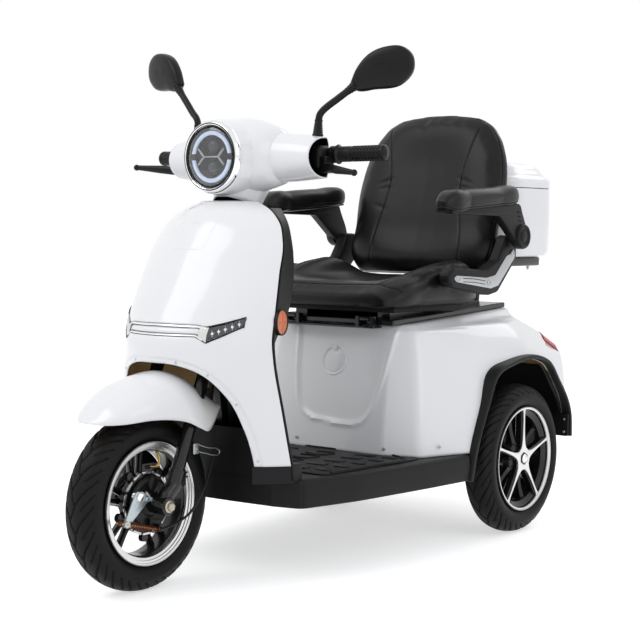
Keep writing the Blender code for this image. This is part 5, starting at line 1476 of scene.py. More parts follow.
class SCOOTER_OT_mirrors(bpy.types.Operator):
    """Mirrors with domed backs, glass, bent stems and ribbed boots"""

    bl_idname = "scooter.mirrors"
    bl_label = "Mirrors"

    def head(self, place):
        outline = smooth_path([(x, z, 0.0) for x, z in (*MIRROR_OUTLINE, MIRROR_OUTLINE[0])], 73)[:-1]
        middle = Vector((0.0, 0.002, 0.0))

        def ring(share, deep, points=outline):
            flat = [middle + (p - middle) * share for p in points]
            return [place @ Vector((p.x, deep, p.y)) for p in flat]

        steps = ((0.930, 0.0105), (0.945, 0.0120), (0.972, 0.0120), (0.990, 0.0095), (1.0, 0.0050), (0.997, 0.0),
                 (0.980, -0.0045), (0.945, -0.0080), (0.885, -0.0102), (0.79, -0.0117), (0.62, -0.0130),
                 (0.40, -0.0139), (0.18, -0.0143))
        shell = ringed([ring(*step) for step in steps])
        glass = ringed([ring(0.925, 0.0095), ring(0.925, 0.0112), ring(0.915, 0.0116)])
        frame_line = rounded([(-0.018, -0.008), (0.018, -0.008), (0.018, 0.008), (-0.018, 0.008)], 0.003)
        frame_line = [place @ Vector((p.x + 0.004, -0.0141, p.y + 0.002)) for p in [*frame_line, frame_line[0]]]
        return shell, glass, tube(frame_line, 0.0006, 6, 2)

    def execute(self, context):
        for side, sign in SIDES:
            lift = Vector((0.0, 0.0, MIRROR_LIFT[side]))
            out = Matrix.Diagonal((sign, 1.0, 1.0, 1.0))
            place = out @ Matrix.Translation(MIRROR_CENTRE + lift) @ Matrix.Rotation(MIRROR_TURN, 4, "Z")
            shell, glass, line = self.head(place)
            foot, neck = Vector((0.191, -0.280, 1.0326)), Vector((0.191, -0.277, 1.068))
            knee, tip = Vector((0.2100, -0.2725, 1.0975)), Vector((0.286, -0.256, 1.162)) + lift
            path = [out @ p for p in (foot, neck, Vector((0.1935, -0.2762, 1.0800)),
                                      Vector((0.1995, -0.2747, 1.0885)), knee,
                                      knee.lerp(tip, 0.33), knee.lerp(tip, 0.66), tip)]
            stem = tube(path, 0.0084, 16, 48)
            up = neck - foot
            ribs = [(0.0, -0.002), (0.0130, -0.002), (0.0135, 0.001)]
            for k in range(6):
                ribs += [(0.0128 - 0.0005 * k, 0.003 + 0.0048 * k), (0.0116 - 0.0005 * k, 0.0042 + 0.0048 * k),
                         (0.0116 - 0.0005 * k, 0.0064 + 0.0048 * k)]
            ribs += [(0.0098, 0.036), (0.0086, 0.037)]
            boot = spun(ribs, out @ foot, (sign * up.x, up.y, up.z), 32)
            cuff = tube([out @ knee.lerp(tip, 0.66), out @ knee.lerp(tip, 0.97)],
                        (0.0080, 0.0094, 0.0086, 0.0104, 0.0095, 0.0115, 0.0104, 0.0124, 0.0112), 20, 28)
            for bm in (shell, glass, line, boot):
                bmesh.ops.recalc_face_normals(bm, faces=bm.faces)
            piece(
                "mirror_head_" + side, gather((shell, 0), (glass, 1), (line, 0), (stem, 0), (boot, 2), (cuff, 2)),
                ("smooth black", "mirror glass", "grip rubber"), "steering", ["mirror_" + side],
                sharp=50)
        return {"FINISHED"}


class SCOOTER_OT_grips(bpy.types.Operator):
    """Patterned grips with black end caps, switch blocks and brake levers with ball ends"""

    bl_idname = "scooter.grips"
    bl_label = "Grips and levers"

    def grip(self, side, sign):
        start, end = bar_point(sign * GRIP_START), bar_point(sign * GRIP_END)
        way = (end - start).normalized()
        over = Vector((0, 0, 1)) - way * way.z
        over.normalize()
        across = way.cross(over)

        def place(u, v):
            angle = 2 * np.pi * u
            cell = (u * 12.0) % 1.0
            lean = np.where((u * 6.0) % 1.0 < 0.5, 1.0, -1.0)
            wave = np.abs(((v * 15.0 + lean * cell * 1.0) % 1.0) - 0.5) * 2
            inside = smoothstep(0.30, 0.33, v) * (1 - smoothstep(0.88, 0.90, v))
            gap = smoothstep(0.0, 0.10, np.minimum(cell, 1 - cell))
            pattern = inside * (0.0012 * smoothstep(0.25, 0.60, wave) * gap)
            rings = 0.0010 * smoothstep(0.2, 0.8, np.sin(np.clip(v, 0, 0.29) / 0.29 * np.pi * 8) ** 2) * (v < 0.29)
            flange = 0.0048 * (1 - smoothstep(0.030, 0.055, v))
            tip = 0.0014 * smoothstep(0.90, 0.92, v) * (1 - smoothstep(0.965, 0.985, v))
            r = GRIP_R - 0.0014 + pattern + rings + flange + tip
            r = r * (1 - 0.25 * smoothstep(0.985, 1.0, v)) * (1 - 0.22 * (1 - smoothstep(0.0, 0.012, v)))
            reach = v * (end - start).length
            return (np.array(start) + np.outer(reach, way) + np.outer(r * np.cos(angle),
                    over) + np.outer(r * np.sin(angle), across))

        sleeve = sheet(144, 170, place, closed=True)
        cap_ends(sleeve)
        tidy(sleeve)
        cap = spun([(0.0, 0.0026), (0.0085, 0.0024), (0.0104, 0.0012), (0.0106, -0.001)], end - way * 0.0008, way, 32)
        return piece("grip_sleeve_" + side, gather((sleeve, 0), (cap, 1)), ("grip rubber", "smooth black"),
                     "steering", ["grip_" + side])

    def lever(self, side, sign):
        start, end = bar_point(sign * 0.2110), bar_point(sign * 0.2274)
        way = end - start
        block = spun([(0.0, 0.0), (0.0190, 0.0), (0.0203, 0.0014), (0.0203, way.length - 0.0014),
                      (0.0190, way.length), (0.0, way.length)], start, way, 40)
        parts = [(block, 0)]
        parts.append((brick(*self.span(sign, (0.2085, -0.297, 0.944), (0.2270, -0.262, 0.983)), 0.003), 0))
        parts.append((brick(*self.span(sign, (0.1780, -0.300, 0.950), (0.2120, -0.252, 1.010)), 0.012, 4), 1))
        pivot = Vector((sign * 0.2200, -0.2925, 0.944))
        parts.append((spun([(0.0, 0.0), (0.0055, 0.0), (0.0060, 0.0010), (0.0060, 0.0185), (0.0, 0.0190)], pivot,
                           (0, 0, 1), 24), 1))
        ball = Vector(LEVER_BALLS[side])
        path = [(sign * x, y, z) for x, y, z in (
            (0.214, -0.2925, 0.9545), (0.232, -0.2990, 0.9550),
            tuple(Vector((0.232, -0.304, 0.9555)).lerp(ball, 0.45)), tuple(ball))]
        parts.append((tube(path, (0.0085, 0.0105, 0.0100, 0.0078, 0.0060), 14, 30, 0.68, Vector((0, 0, 1))), 0))
        parts.append((spun([(0.0078 * math.sin(a), -0.0078 * math.cos(a))
                            for a in (math.pi * k / 14 for k in range(15))],
                           (sign * ball.x, ball.y, ball.z), (0, 0, 1), 24), 0))
        button = bar_point(sign * 0.2190) + Vector((0, -0.019, 0.007))
        parts.append((spun([(0.0, 0.0034), (0.0040, 0.0032), (0.0048, 0.0022), (0.0050, -0.002)], button,
                           (0, -0.94, 0.34), 20), 1))
        piece("lever_set_" + side, gather(*parts), ("smooth black", "black plastic"), "steering",
              ["lever_" + side])

    @staticmethod
    def span(sign, low, high):
        xs = sorted((sign * low[0], sign * high[0]))
        return (xs[0], *low[1:]), (xs[1], *high[1:])

    def execute(self, context):
        for side, sign in SIDES:
            self.grip(side, sign)
            self.lever(side, sign)
        return {"FINISHED"}


# Top box


class SCOOTER_OT_top_box(bpy.types.Operator):
    """White top box with its stepped lid, and the black rack below it"""

    bl_idname = "scooter.top_box"
    bl_label = "Top box"

    HALF, FRONT, REAR, CORNER = 0.190, 0.615, 0.879, 0.074
    LOW, SPLIT, HIGH = 0.735, 0.935, 1.008
    # Share of the lid's height and how far its skin has come in there.
    LID_LEVELS = ((0.008, 0.0), (0.06, 0.0), (0.315, 0.0008), (0.380, 0.0030), (0.452, 0.0120), (0.560, 0.0170),
                  (0.685, 0.0240), (0.863, 0.0340), (0.950, 0.0450), (1.0, 0.0620))

    def ring(self, inset, z):
        h, a, b = self.HALF - inset, self.FRONT + inset, self.REAR - inset
        line = rounded([(-h, a), (h, a), (h, b), (-h, b)], max(0.012, self.CORNER - inset * 0.4), steps=9, spans=4)
        return [(p.x, p.y, z) for p in line]

    def shell(self, levels):
        """A closed form over rings of (inset, height)."""
        return ringed([self.ring(inset, z) for inset, z in levels])

    def execute(self, context):
        levels = [(0.030, self.LOW + 0.0004), (0.016, self.LOW + 0.0016), (0.0075, self.LOW + 0.005),
                  (0.0025, self.LOW + 0.012), (0.0, self.LOW + 0.022), (0.0, self.LOW + 0.110),
                  (0.0, self.SPLIT - 0.0022), (0.0012, self.SPLIT - 0.0006)]
        body = self.shell(levels)
        top = max(body.faces, key=lambda f: f.calc_center_median().z)
        bmesh.ops.delete(body, geom=[top], context="FACES_ONLY")
        made = piece("box_shell", body, ("white gloss", "matt black"), "chassis", ["top_box"],
                     sharp=30)
        thicken(made, 0.0038)
        high = self.HIGH - self.SPLIT
        share, inset = np.array(self.LID_LEVELS).T
        at = np.r_[0.008, 0.016, np.linspace(0.03, 1.0, 26)]
        levels = [(0.0012, self.SPLIT + 0.008 * high)] + [
            (float(i), self.SPLIT + float(s) * high) for s, i in zip(at[1:], column(share, inset, at[1:]))]
        levels += [(0.085, self.HIGH + 0.0012), (0.130, self.HIGH + 0.0018)]
        levels = [(i, min(z, self.HIGH + 0.0018)) for i, z in levels]
        lid = self.shell(levels)
        under = min(lid.faces, key=lambda f: f.calc_center_median().z)
        bmesh.ops.delete(lid, geom=[under], context="FACES_ONLY")
        made = piece("lid_shell", lid, ("white gloss", "matt black"), "box_lid", ["top_box_lid"],
                     sharp=30)
        thicken(made, 0.0034)
        deck = slab(rounded([(-0.150, 0.640), (0.150, 0.640), (0.150, 0.862), (-0.150, 0.862)], 0.020),
                    0.7085, 0.7345, "Z", 0.005, 3)
        parts = [(deck, 0)]
        for sign in (1, -1):
            parts.append((tube([(sign * 0.090, 0.594, 0.601), (sign * 0.090, 0.598, 0.635),
                                (sign * 0.090, 0.610, 0.672), (sign * 0.090, 0.662, 0.722)],
                               0.009, 18, 22), 0))
            parts.append((brick((sign * 0.090 - 0.022, 0.5785, 0.5970), (sign * 0.090 + 0.022, 0.608, 0.6030),
                                0.0015), 0))
            parts.append((screw((sign * 0.090 - 0.014 * sign, 0.586, 0.6030), (0, 0, 1), 0.005, 0.003), 1))
            parts.append((screw((sign * 0.118, 0.838, 0.7085), (0, 0, -1), 0.0052, 0.0125), 1))
        piece("rack_deck", gather(*parts), ("black paint", "zinc"), "chassis", ["box_rack"])
        return {"FINISHED"}


# Fork, brake and cable


class SCOOTER_OT_fork(bpy.types.Operator):
    """Fork with clamped legs, drum brake with its arm, spring and cable, and the axle nuts"""

    bl_idname = "scooter.fork"
    bl_label = "Fork and front brake"

    LEG_X = 0.075
    CABLE = (
        (0.0560, -0.6655, 0.1425), (0.0562, -0.6450, 0.1440), (0.0580, -0.6050, 0.1520), (0.0610, -0.5720, 0.1680),
        (0.0645, -0.5480, 0.1960), (0.0685, -0.5270, 0.2320), (0.0740, -0.5180, 0.2680), (0.0780, -0.5110, 0.3020),
        (0.0775, -0.5140, 0.3420), (0.0730, -0.5160, 0.3900), (0.0700, -0.5100, 0.4400), (0.0690, -0.5010, 0.4860),
    )

    def legs(self):
        parts = []
        crown = steering_point(0.512)
        for sign in (1, -1):
            side = Vector((sign * self.LEG_X, 0.0, 0.0))
            parts.append((tube([steering_point(0.250) + side - Vector((0, 0.008, 0)),
                                crown + side + Vector((0, -0.014, 0.012))], 0.0152, 28, 2), 0))
            ankle = FRONT_AXLE + side + Vector((0, 0.004, -0.004))
            path = [ankle, FRONT_AXLE + side + Vector((0, 0.012, 0.020)),
                    steering_point(0.240) + side - Vector((0, 0.009, 0)),
                    steering_point(0.272) + side - Vector((0, 0.008, 0))]
            parts.append((tube(path, (0.0188, 0.0182, 0.0176, 0.0184, 0.0190), 28, 24), 0))
            lug = spun([(0.009, -0.020), (0.0185, -0.020), (0.0200, -0.0185), (0.0200, 0.0185), (0.0185, 0.020),
                        (0.009, 0.020)],
                       FRONT_AXLE + side, (1, 0, 0), 40, closed=True)
            parts.append((lug, 0))
            clamp = steering_point(0.262) + side
            for shift in (-0.005, 0.005):
                parts.append((brick(clamp + Vector((sign * 0.006 - 0.006, 0.008, shift - 0.002)),
                                    clamp + Vector((sign * 0.006 + 0.006, 0.018, shift + 0.002)), 0.0012), 0))
            parts.append((brick(clamp + Vector((sign * 0.0120 - 0.0014, -0.002, -0.024)),
                                clamp + Vector((sign * 0.0120 + 0.0014, 0.010, 0.0125)), 0.0005), 1))
        bridge = brick(crown - Vector((0.093, 0.034, 0.010)), crown + Vector((0.093, 0.016, 0.014)), 0.006, 3)
        parts.append((bridge, 0))
        parts.append((tube([crown, steering_point(0.966)], 0.016, 28, 2), 0))
        piece("fork_legs", gather(*parts), ("black paint", "matt black"), "steering", ["fork"])

    def nuts(self):
        parts = [spun([(0.0, -0.104), (0.0070, -0.104), (0.0080, -0.103), (0.0080, 0.105), (0.0070, 0.106),
                       (0.0, 0.106)], FRONT_AXLE, (1, 0, 0), 24)]
        for sign in (1, -1):
            parts.append(spun([(r, sign * a) for r, a in ((0.008, 0.0952), (0.0138, 0.0952), (0.0138, 0.0968),
                                                          (0.0110, 0.0985), (0.008, 0.0985))],
                              FRONT_AXLE, (1, 0, 0), 36, closed=True))
            hexagon = [(FRONT_AXLE.y + 0.0104 * math.cos(a), FRONT_AXLE.z + 0.0104 * math.sin(a))
                       for a in (math.pi / 3 * k + 0.3 for k in range(6))]
            parts.append(slab(hexagon, *sorted((sign * 0.0975, sign * 0.1045)), "X", 0.0008, 2))
        piece("axle_nuts", gather(*parts), "nickel", "steering", ["front_axle"])

    def brake(self):
        face = Vector((0.0315, FRONT_AXLE.y, FRONT_AXLE.z))
        plate = spun(
            [(0.0085, 0.0), (0.0600, 0.0), (0.0612, 0.0015), (0.0612, 0.0050), (0.0590, 0.0072), (0.0560, 0.0092),
             (0.0520, 0.0100), (0.0490, 0.0088), (0.0300, 0.0082), (0.0255, 0.0120), (0.0190, 0.0135),
             (0.0180, 0.0225), (0.0085, 0.0229)], face, (1, 0, 0), 72, closed=True)
        lobe = ringed([[
            Vector((0.0400 + deep, -0.676 + 0.0140 * r * math.cos(a), 0.2440 + 0.0200 * r * math.sin(a)))
            for a in (2 * math.pi * k / 28 for k in range(28))]
            for r, deep in ((1.08, -0.002), (1.0, 0.004), (0.90, 0.0065), (0.66, 0.0082), (0.3, 0.0090))])
        parts = [(plate, 0), (lobe, 0)]
        parts.append((slab([(-0.690, 0.150), (-0.655, 0.147), (-0.655, 0.162), (-0.690, 0.170)], 0.0340, 0.0480, "X",
                           0.001), 0))
        parts.append((spun([(0.0024, 0.0), (0.0062, 0.0), (0.0062, 0.0110), (0.0024, 0.0110)],
                           (0.0560, -0.6765, 0.1440), (0.02, 1.0, -0.12), 20, closed=True), 0))
        parts.append((brick((0.0440, -0.6760, 0.1385), (0.0620, -0.6720, 0.1560), 0.001), 0))
        outline = rounded(
            [(-0.746, 0.2240), (-0.737, 0.2360), (-0.720, 0.2340), (-0.694, 0.2220), (-0.692, 0.2110),
             (-0.708, 0.2060), (-0.7640, 0.1610), (-0.7750, 0.1620), (-0.7780, 0.1720), (-0.7700, 0.1790)], 0.006,
             steps=5)
        parts.append((slab(outline, 0.0505, 0.0540, "X", 0.0006, 2), 1))
        rib = rounded([(-0.738, 0.2010), (-0.722, 0.2130), (-0.730, 0.2150), (-0.745, 0.2040)], 0.003)
        parts.append((slab(rib, 0.0538, 0.0552, "X", 0.0005), 1))
        parts.append((spun([(0.0, 0.0), (0.0092, 0.0), (0.0096, 0.0010), (0.0096, 0.0190), (0.0082, 0.0202),
                            (0.0, 0.0202)], (0.0395, -0.7300, 0.2240), (1, 0, 0), 28), 2))
        for k in range(2):
            parts.append((spun([(0.0, 0.0), (0.0052, 0.0), (0.0052, 0.0050), (0.0036, 0.0056), (0.0, 0.0056)],
                               (0.0540, -0.7030 + 0.0130 * k - 0.006, 0.2170 - 0.003 * k), (1, 0, 0), 6), 1))
        parts.append((tube([(0.0560, -0.712, 0.2330), (0.0560, -0.690, 0.2100)], 0.0030, 12, 2), 1))
        parts.append((spun([(0.0030, -0.0045), (0.0072, -0.0045), (0.0078, -0.0035), (0.0078, 0.0035),
                            (0.0072, 0.0045), (0.0030, 0.0045)],
                           (0.0560, -0.7714, 0.1690), (1, 0, 0), 28, closed=True), 1))
        parts.append((spun([(0.0, 0.0), (0.0036, 0.0), (0.0034, 0.0075), (0.0, 0.0078)], (0.0530, -0.7714, 0.1690),
                           (1, 0, 0), 16), 3))
        way = Vector((0.0, 0.0955, -0.0272)).normalized()
        parts.append((tube([(0.0560, -0.8010, 0.1768), (0.0560, -0.6600, 0.1400)], 0.0019, 10, 2), 3))
        parts.append((spun([(0.0020, 0.0), (0.0052, 0.0), (0.0056, 0.0012), (0.0056, 0.0075), (0.0020, 0.0080)],
                           (0.0560, -0.7960, 0.1758), way, 6, closed=True), 4))
        start, turns, steps = Vector((0.0560, -0.7610, 0.1662)), 12, 12
        over = Vector((1, 0, 0))
        across = way.cross(over)
        coil = []
        for k in range(turns * steps + 1):
            a = 2 * math.pi * k / steps
            middle = start + way * (0.0880 * k / (turns * steps))
            coil.append(middle + (over * math.cos(a) + across * math.sin(a)) * 0.0064)
        parts.append((tube(coil, 0.0013, 6, 2), 4))
        piece("brake_unit", gather(*parts), ("smooth black", "zinc", "chrome", "brass", "copper"), "steering",
              ["brake_plate"])

    def cable(self):
        path = smooth_path(self.CABLE, 120)
        made = piece("brake_cable", tube(path, 0.0030, 12, 2), "smooth black", "steering")
        guide = [
            brick((0.0895, -0.5960, 0.3060), (0.0915, -0.5780, 0.3300), 0.0008),
            screw((0.0915, -0.5870, 0.3190), (1, 0, 0), 0.0042, 0.0026),
            tube([(0.0905, -0.5800, 0.3270), (0.0905, -0.5500, 0.3170), (0.0895, -0.5110, 0.3080),
                  (0.0880, -0.5035, 0.3030), (0.0870, -0.5060, 0.2965), (0.0880, -0.5200, 0.2960),
                  (0.0890, -0.5500, 0.3030), (0.0905, -0.5800, 0.3110)], 0.0015, 10, 40)]
        piece("cable_guide", gather(*guide), "silver", "steering")

    def execute(self, context):
        self.legs()
        self.nuts()
        self.brake()
        self.cable()
        return {"FINISHED"}


# Black mouldings

# Height, x and y of the shoulder and y of the back of the leg panel.
LEG_LEVELS = (
    (0.278, 0.188, -0.408, -0.349), (0.400, 0.180, -0.424, -0.362), (0.520, 0.178, -0.438, -0.354),
    (0.560, 0.190, -0.432, -0.344), (0.620, 0.202, -0.404, -0.332), (0.710, 0.172, -0.346, -0.312),
    (0.785, 0.146, -0.322, -0.287), (0.835, 0.114, -0.302, -0.270), (0.862, 0.086, -0.290, -0.263),
)
# Left half of the foot deck's outline as (x, y), and the radius of each corner.
FLOOR_HALF = (
    (0.060, -0.440), (0.190, -0.436), (0.262, -0.418), (0.303, -0.250), (0.334, 0.0), (0.350, 0.168), (0.262, 0.168),
    (0.252, 0.052), (0.060, 0.052),
)
FLOOR_RADII = (0.001, 0.08, 0.030, 0.60, 0.50, 0.006, 0.004, 0.02, 0.001)


def both_sides(half):
    return [*half, *[(-x, y) for x, y in reversed(half)]]


class SCOOTER_OT_black_parts(bpy.types.Operator):
    """Leg panel with side reflectors, foot deck with its ribbed mat, arch trims and mud flaps"""

    bl_idname = "scooter.black_parts"
    bl_label = "Black mouldings"

    def leg_panel(self):
        shield, leg = np.array(SHIELD_LEVELS[:9]), np.array(LEG_LEVELS)
        at = np.linspace(0.278, 0.862, 60)
        half, edge = (column(shield[:, 0], shield[:, k], at) for k in (1, 2))
        shoulder_x, shoulder_y, back = (column(leg[:, 0], leg[:, k], at) for k in (1, 2, 3))
        rings = []
        for i, z in enumerate(at):
            sx, sy, b = shoulder_x[i], shoulder_y[i], back[i]
            side = [(half[i] + 0.0020, edge[i] + 0.0036), (half[i] + 0.0020, edge[i] + 0.0080),
                    (sx + 0.012, sy - 0.010), (sx, sy), (sx * 0.75, (sy + 2 * b) / 3), (sx * 0.30, b)]
            full = [*side, *[(-x, y) for x, y in reversed(side)]]
            line = rounded(full, [0.0, 0.004, 0.012, 0.012, 0.05, 0.06, 0.06, 0.05, 0.012, 0.012, 0.004, 0.0],
                           steps=5, spans=3, closed=False)
            rings.append([(p.x, p.y, float(z)) for p in line])
        rings.insert(0, [(x, y, 0.2434) for x, y, _ in rings[0]])
        bm = bmesh.new()
        rows = [[bm.verts.new(p) for p in ring] for ring in rings]
        for low, high in zip(rows, rows[1:]):
            for k in range(1, len(low)):
                bm.faces.new((low[k - 1], low[k], high[k], high[k - 1]))
        bm.normal_update()
        face_along(bm, lambda p: Vector((p.x * 3, 1.0, 0.0)))
        for face in bm.faces:
            face.material_index = 0 if TAN_LOW < face.calc_center_median().z < TAN_TOP else 2
        made = piece("leg_cover", bm, ("black plastic", "lining", "black plastic", "black plastic"), "chassis",
                     ["leg_panel"], sharp=30)
        thicken(made, 0.0032)
        for side, sign in SIDES:
            centre, way = Vector((sign * 0.2180, -0.4505, 0.603)), Vector((sign * 0.97, 0.25, 0.0)).normalized()
            bezel = spun([(0.0, 0.0), (0.0300, 0.0), (0.0302, 0.0080), (0.0290, 0.0096), (0.0278, 0.0090),
                          (0.0274, 0.0070), (0.0, 0.0070)], centre, way, 48)
            lens = spun([(0.0, 0.0086), (0.0240, 0.0084), (0.0268, 0.0078), (0.0272, 0.0066)], centre, way, 48)
            cross = [tube([centre + way * 0.0086 + d * 0.0250, centre + way * 0.0086 - d * 0.0250], 0.0007, 6, 2)
                     for d in (Vector((0, 0, 1)), way.cross(Vector((0, 0, 1))))]
            piece("reflector_" + side, gather((bezel, 0), (lens, 1), *[(c, 2) for c in cross]),
                  ("black plastic", "reflector", "amber lens"),
                  "chassis")

    def floor(self):
        outline = rounded(both_sides(FLOOR_HALF), list(FLOOR_RADII) + list(FLOOR_RADII[::-1]), steps=6, spans=3)
        levels = ((0.2385, 0.0150), (0.2360, 0.0080), (0.1765, 0.0060), (0.176, 0.0035), (0.1775, 0.0010),
                  (0.180, 0.0), (0.205, 0.0010), (0.230, 0.0022), (0.2365, 0.0030), (0.2402, 0.0048),
                  (0.2424, 0.0080), (0.2430, 0.0120))
        middle = Vector((0.0, -0.15))
        rings = []
        for z, inset in levels:
            rings.append([(p.x * (1 - inset / 0.30), middle.y + (p.y - middle.y) * (1 - inset / 0.30), z)
                          for p in outline])
        tray = ringed(rings)
        mat_half = [(0.120, -0.340), (0.262, -0.336), (0.276, -0.200), (0.294, -0.020), (0.292, 0.020),
                    (0.252, 0.026), (0.120, 0.012)]
        line = rounded(both_sides(mat_half), 0.018, steps=5)
        parts = [(tray, 0), (slab(line, MAT_LOW, MAT_TOP, "Z", 0.0012, 2), 1)]

        def rib(points, r=0.0032):
            return tube([(x, y, MAT_TOP) for x, y in points], r, 8, 30, 0.62, Vector((0, 0, 1))), 1

        parts.append(rib([(-0.262, -0.310), (-0.276, -0.160), (-0.280, -0.030), (-0.240, -0.006), (0.0, -0.014),
                          (0.240, -0.006), (0.280, -0.030), (0.276, -0.160), (0.262, -0.310)], 0.0040))
        for s in (1, -1):
            for x, y in ((0.060, -0.280), (0.060, -0.215), (0.060, -0.150), (0.060, -0.085)):
                parts.append(rib([(s * (x - 0.036), y - 0.020), (s * (x + 0.026), y - 0.020),
                                  (s * (x + 0.030), y + 0.018), (s * (x - 0.030), y + 0.018)]))
            for x, y in ((0.150, -0.290), (0.156, -0.225), (0.160, -0.160), (0.164, -0.095), (0.166, -0.040)):
                parts.append((brick((s * x - 0.026, y - 0.012, 0.2455), (s * x + 0.026, y + 0.012, 0.2485), 0.0014,
                                    2), 1))
                parts.append((brick((s * (x + 0.070) - 0.018, y - 0.005, 0.2455),
                                    (s * (x + 0.070) + 0.018, y + 0.014, 0.2485), 0.0014, 2), 1))
        parts.append((slab(rounded([(-0.225, 0.052), (-0.235, 0.012), (0.235, 0.012), (0.225, 0.052)], 0.008),
                           MAT_LOW, 0.2535, "Z", 0.0025, 2), 1))
        for s in (1, -1):
            filler = [(s * x, y) for x, y in ((0.191, -0.511), (0.2515, -0.4465), (0.2515, -0.405), (0.191, -0.405))]
            parts.append((slab(filler, 0.2380, 0.2795, "Z", 0.002, 2), 0))
        for s in (1, -1):
            parts.append((screw((s * 0.232, -0.427, 0.2100), (s * 0.34, -0.94, 0), 0.0046, 0.002), 2))
        piece("foot_deck", gather(*parts), ("black plastic", "mat", "zinc"), "chassis",
              ["floor_tray"])

    def trims(self):
        arch = smooth_path([(0.0, y, z) for y, z in REAR_ARCH], 60)
        section = ((0.3215, 0.0006), (0.3500, 0.0004), (0.3545, 0.0022), (0.3560, 0.0060), (0.3545, 0.0118),
                   (0.3500, 0.0140), (0.3215, 0.0142))
        for side, sign in SIDES:
            rings = []
            for i, p in enumerate(arch):
                way = (arch[min(i + 1, len(arch) - 1)] - arch[max(i - 1, 0)]).normalized()
                out = Vector((0.0, -way.z, way.y))
                if out.dot(p - Vector((0.0, REAR_AXLE.y, TYRE_R))) < 0:
                    out = -out
                flare = 1.0 + 0.12 * max(0.0, 1 - i / 9) + 0.1 * max(0.0, 1 - (len(arch) - 1 - i) / 6)
                rings.append([Vector((sign * x, 0, 0)) + p + out * (lift * flare) for x, lift in section])
            trim_bm = ringed(rings)
            flap = rounded([(sign * x, z) for x, z in ((0.262, 0.2365), (0.354, 0.2365), (0.354, 0.300),
                                                       (0.262, 0.300))], 0.006)
            parts = [(trim_bm, 0), (slab(flap, 0.6655, 0.6700, "Y", 0.001), 0)]
            for x, z in ((0.275, 0.284), (0.342, 0.284), (0.342, 0.249)):
                parts.append((screw((sign * x, 0.6655, z), (0, -1, 0), 0.0034, 0.0015), 1))
            piece("arch_band_" + side, gather(*parts), ("black plastic", "zinc"), "chassis",
                  ["arch_trim_" + side])

    def execute(self, context):
        self.leg_panel()
        self.floor()
        self.trims()
        return {"FINISHED"}


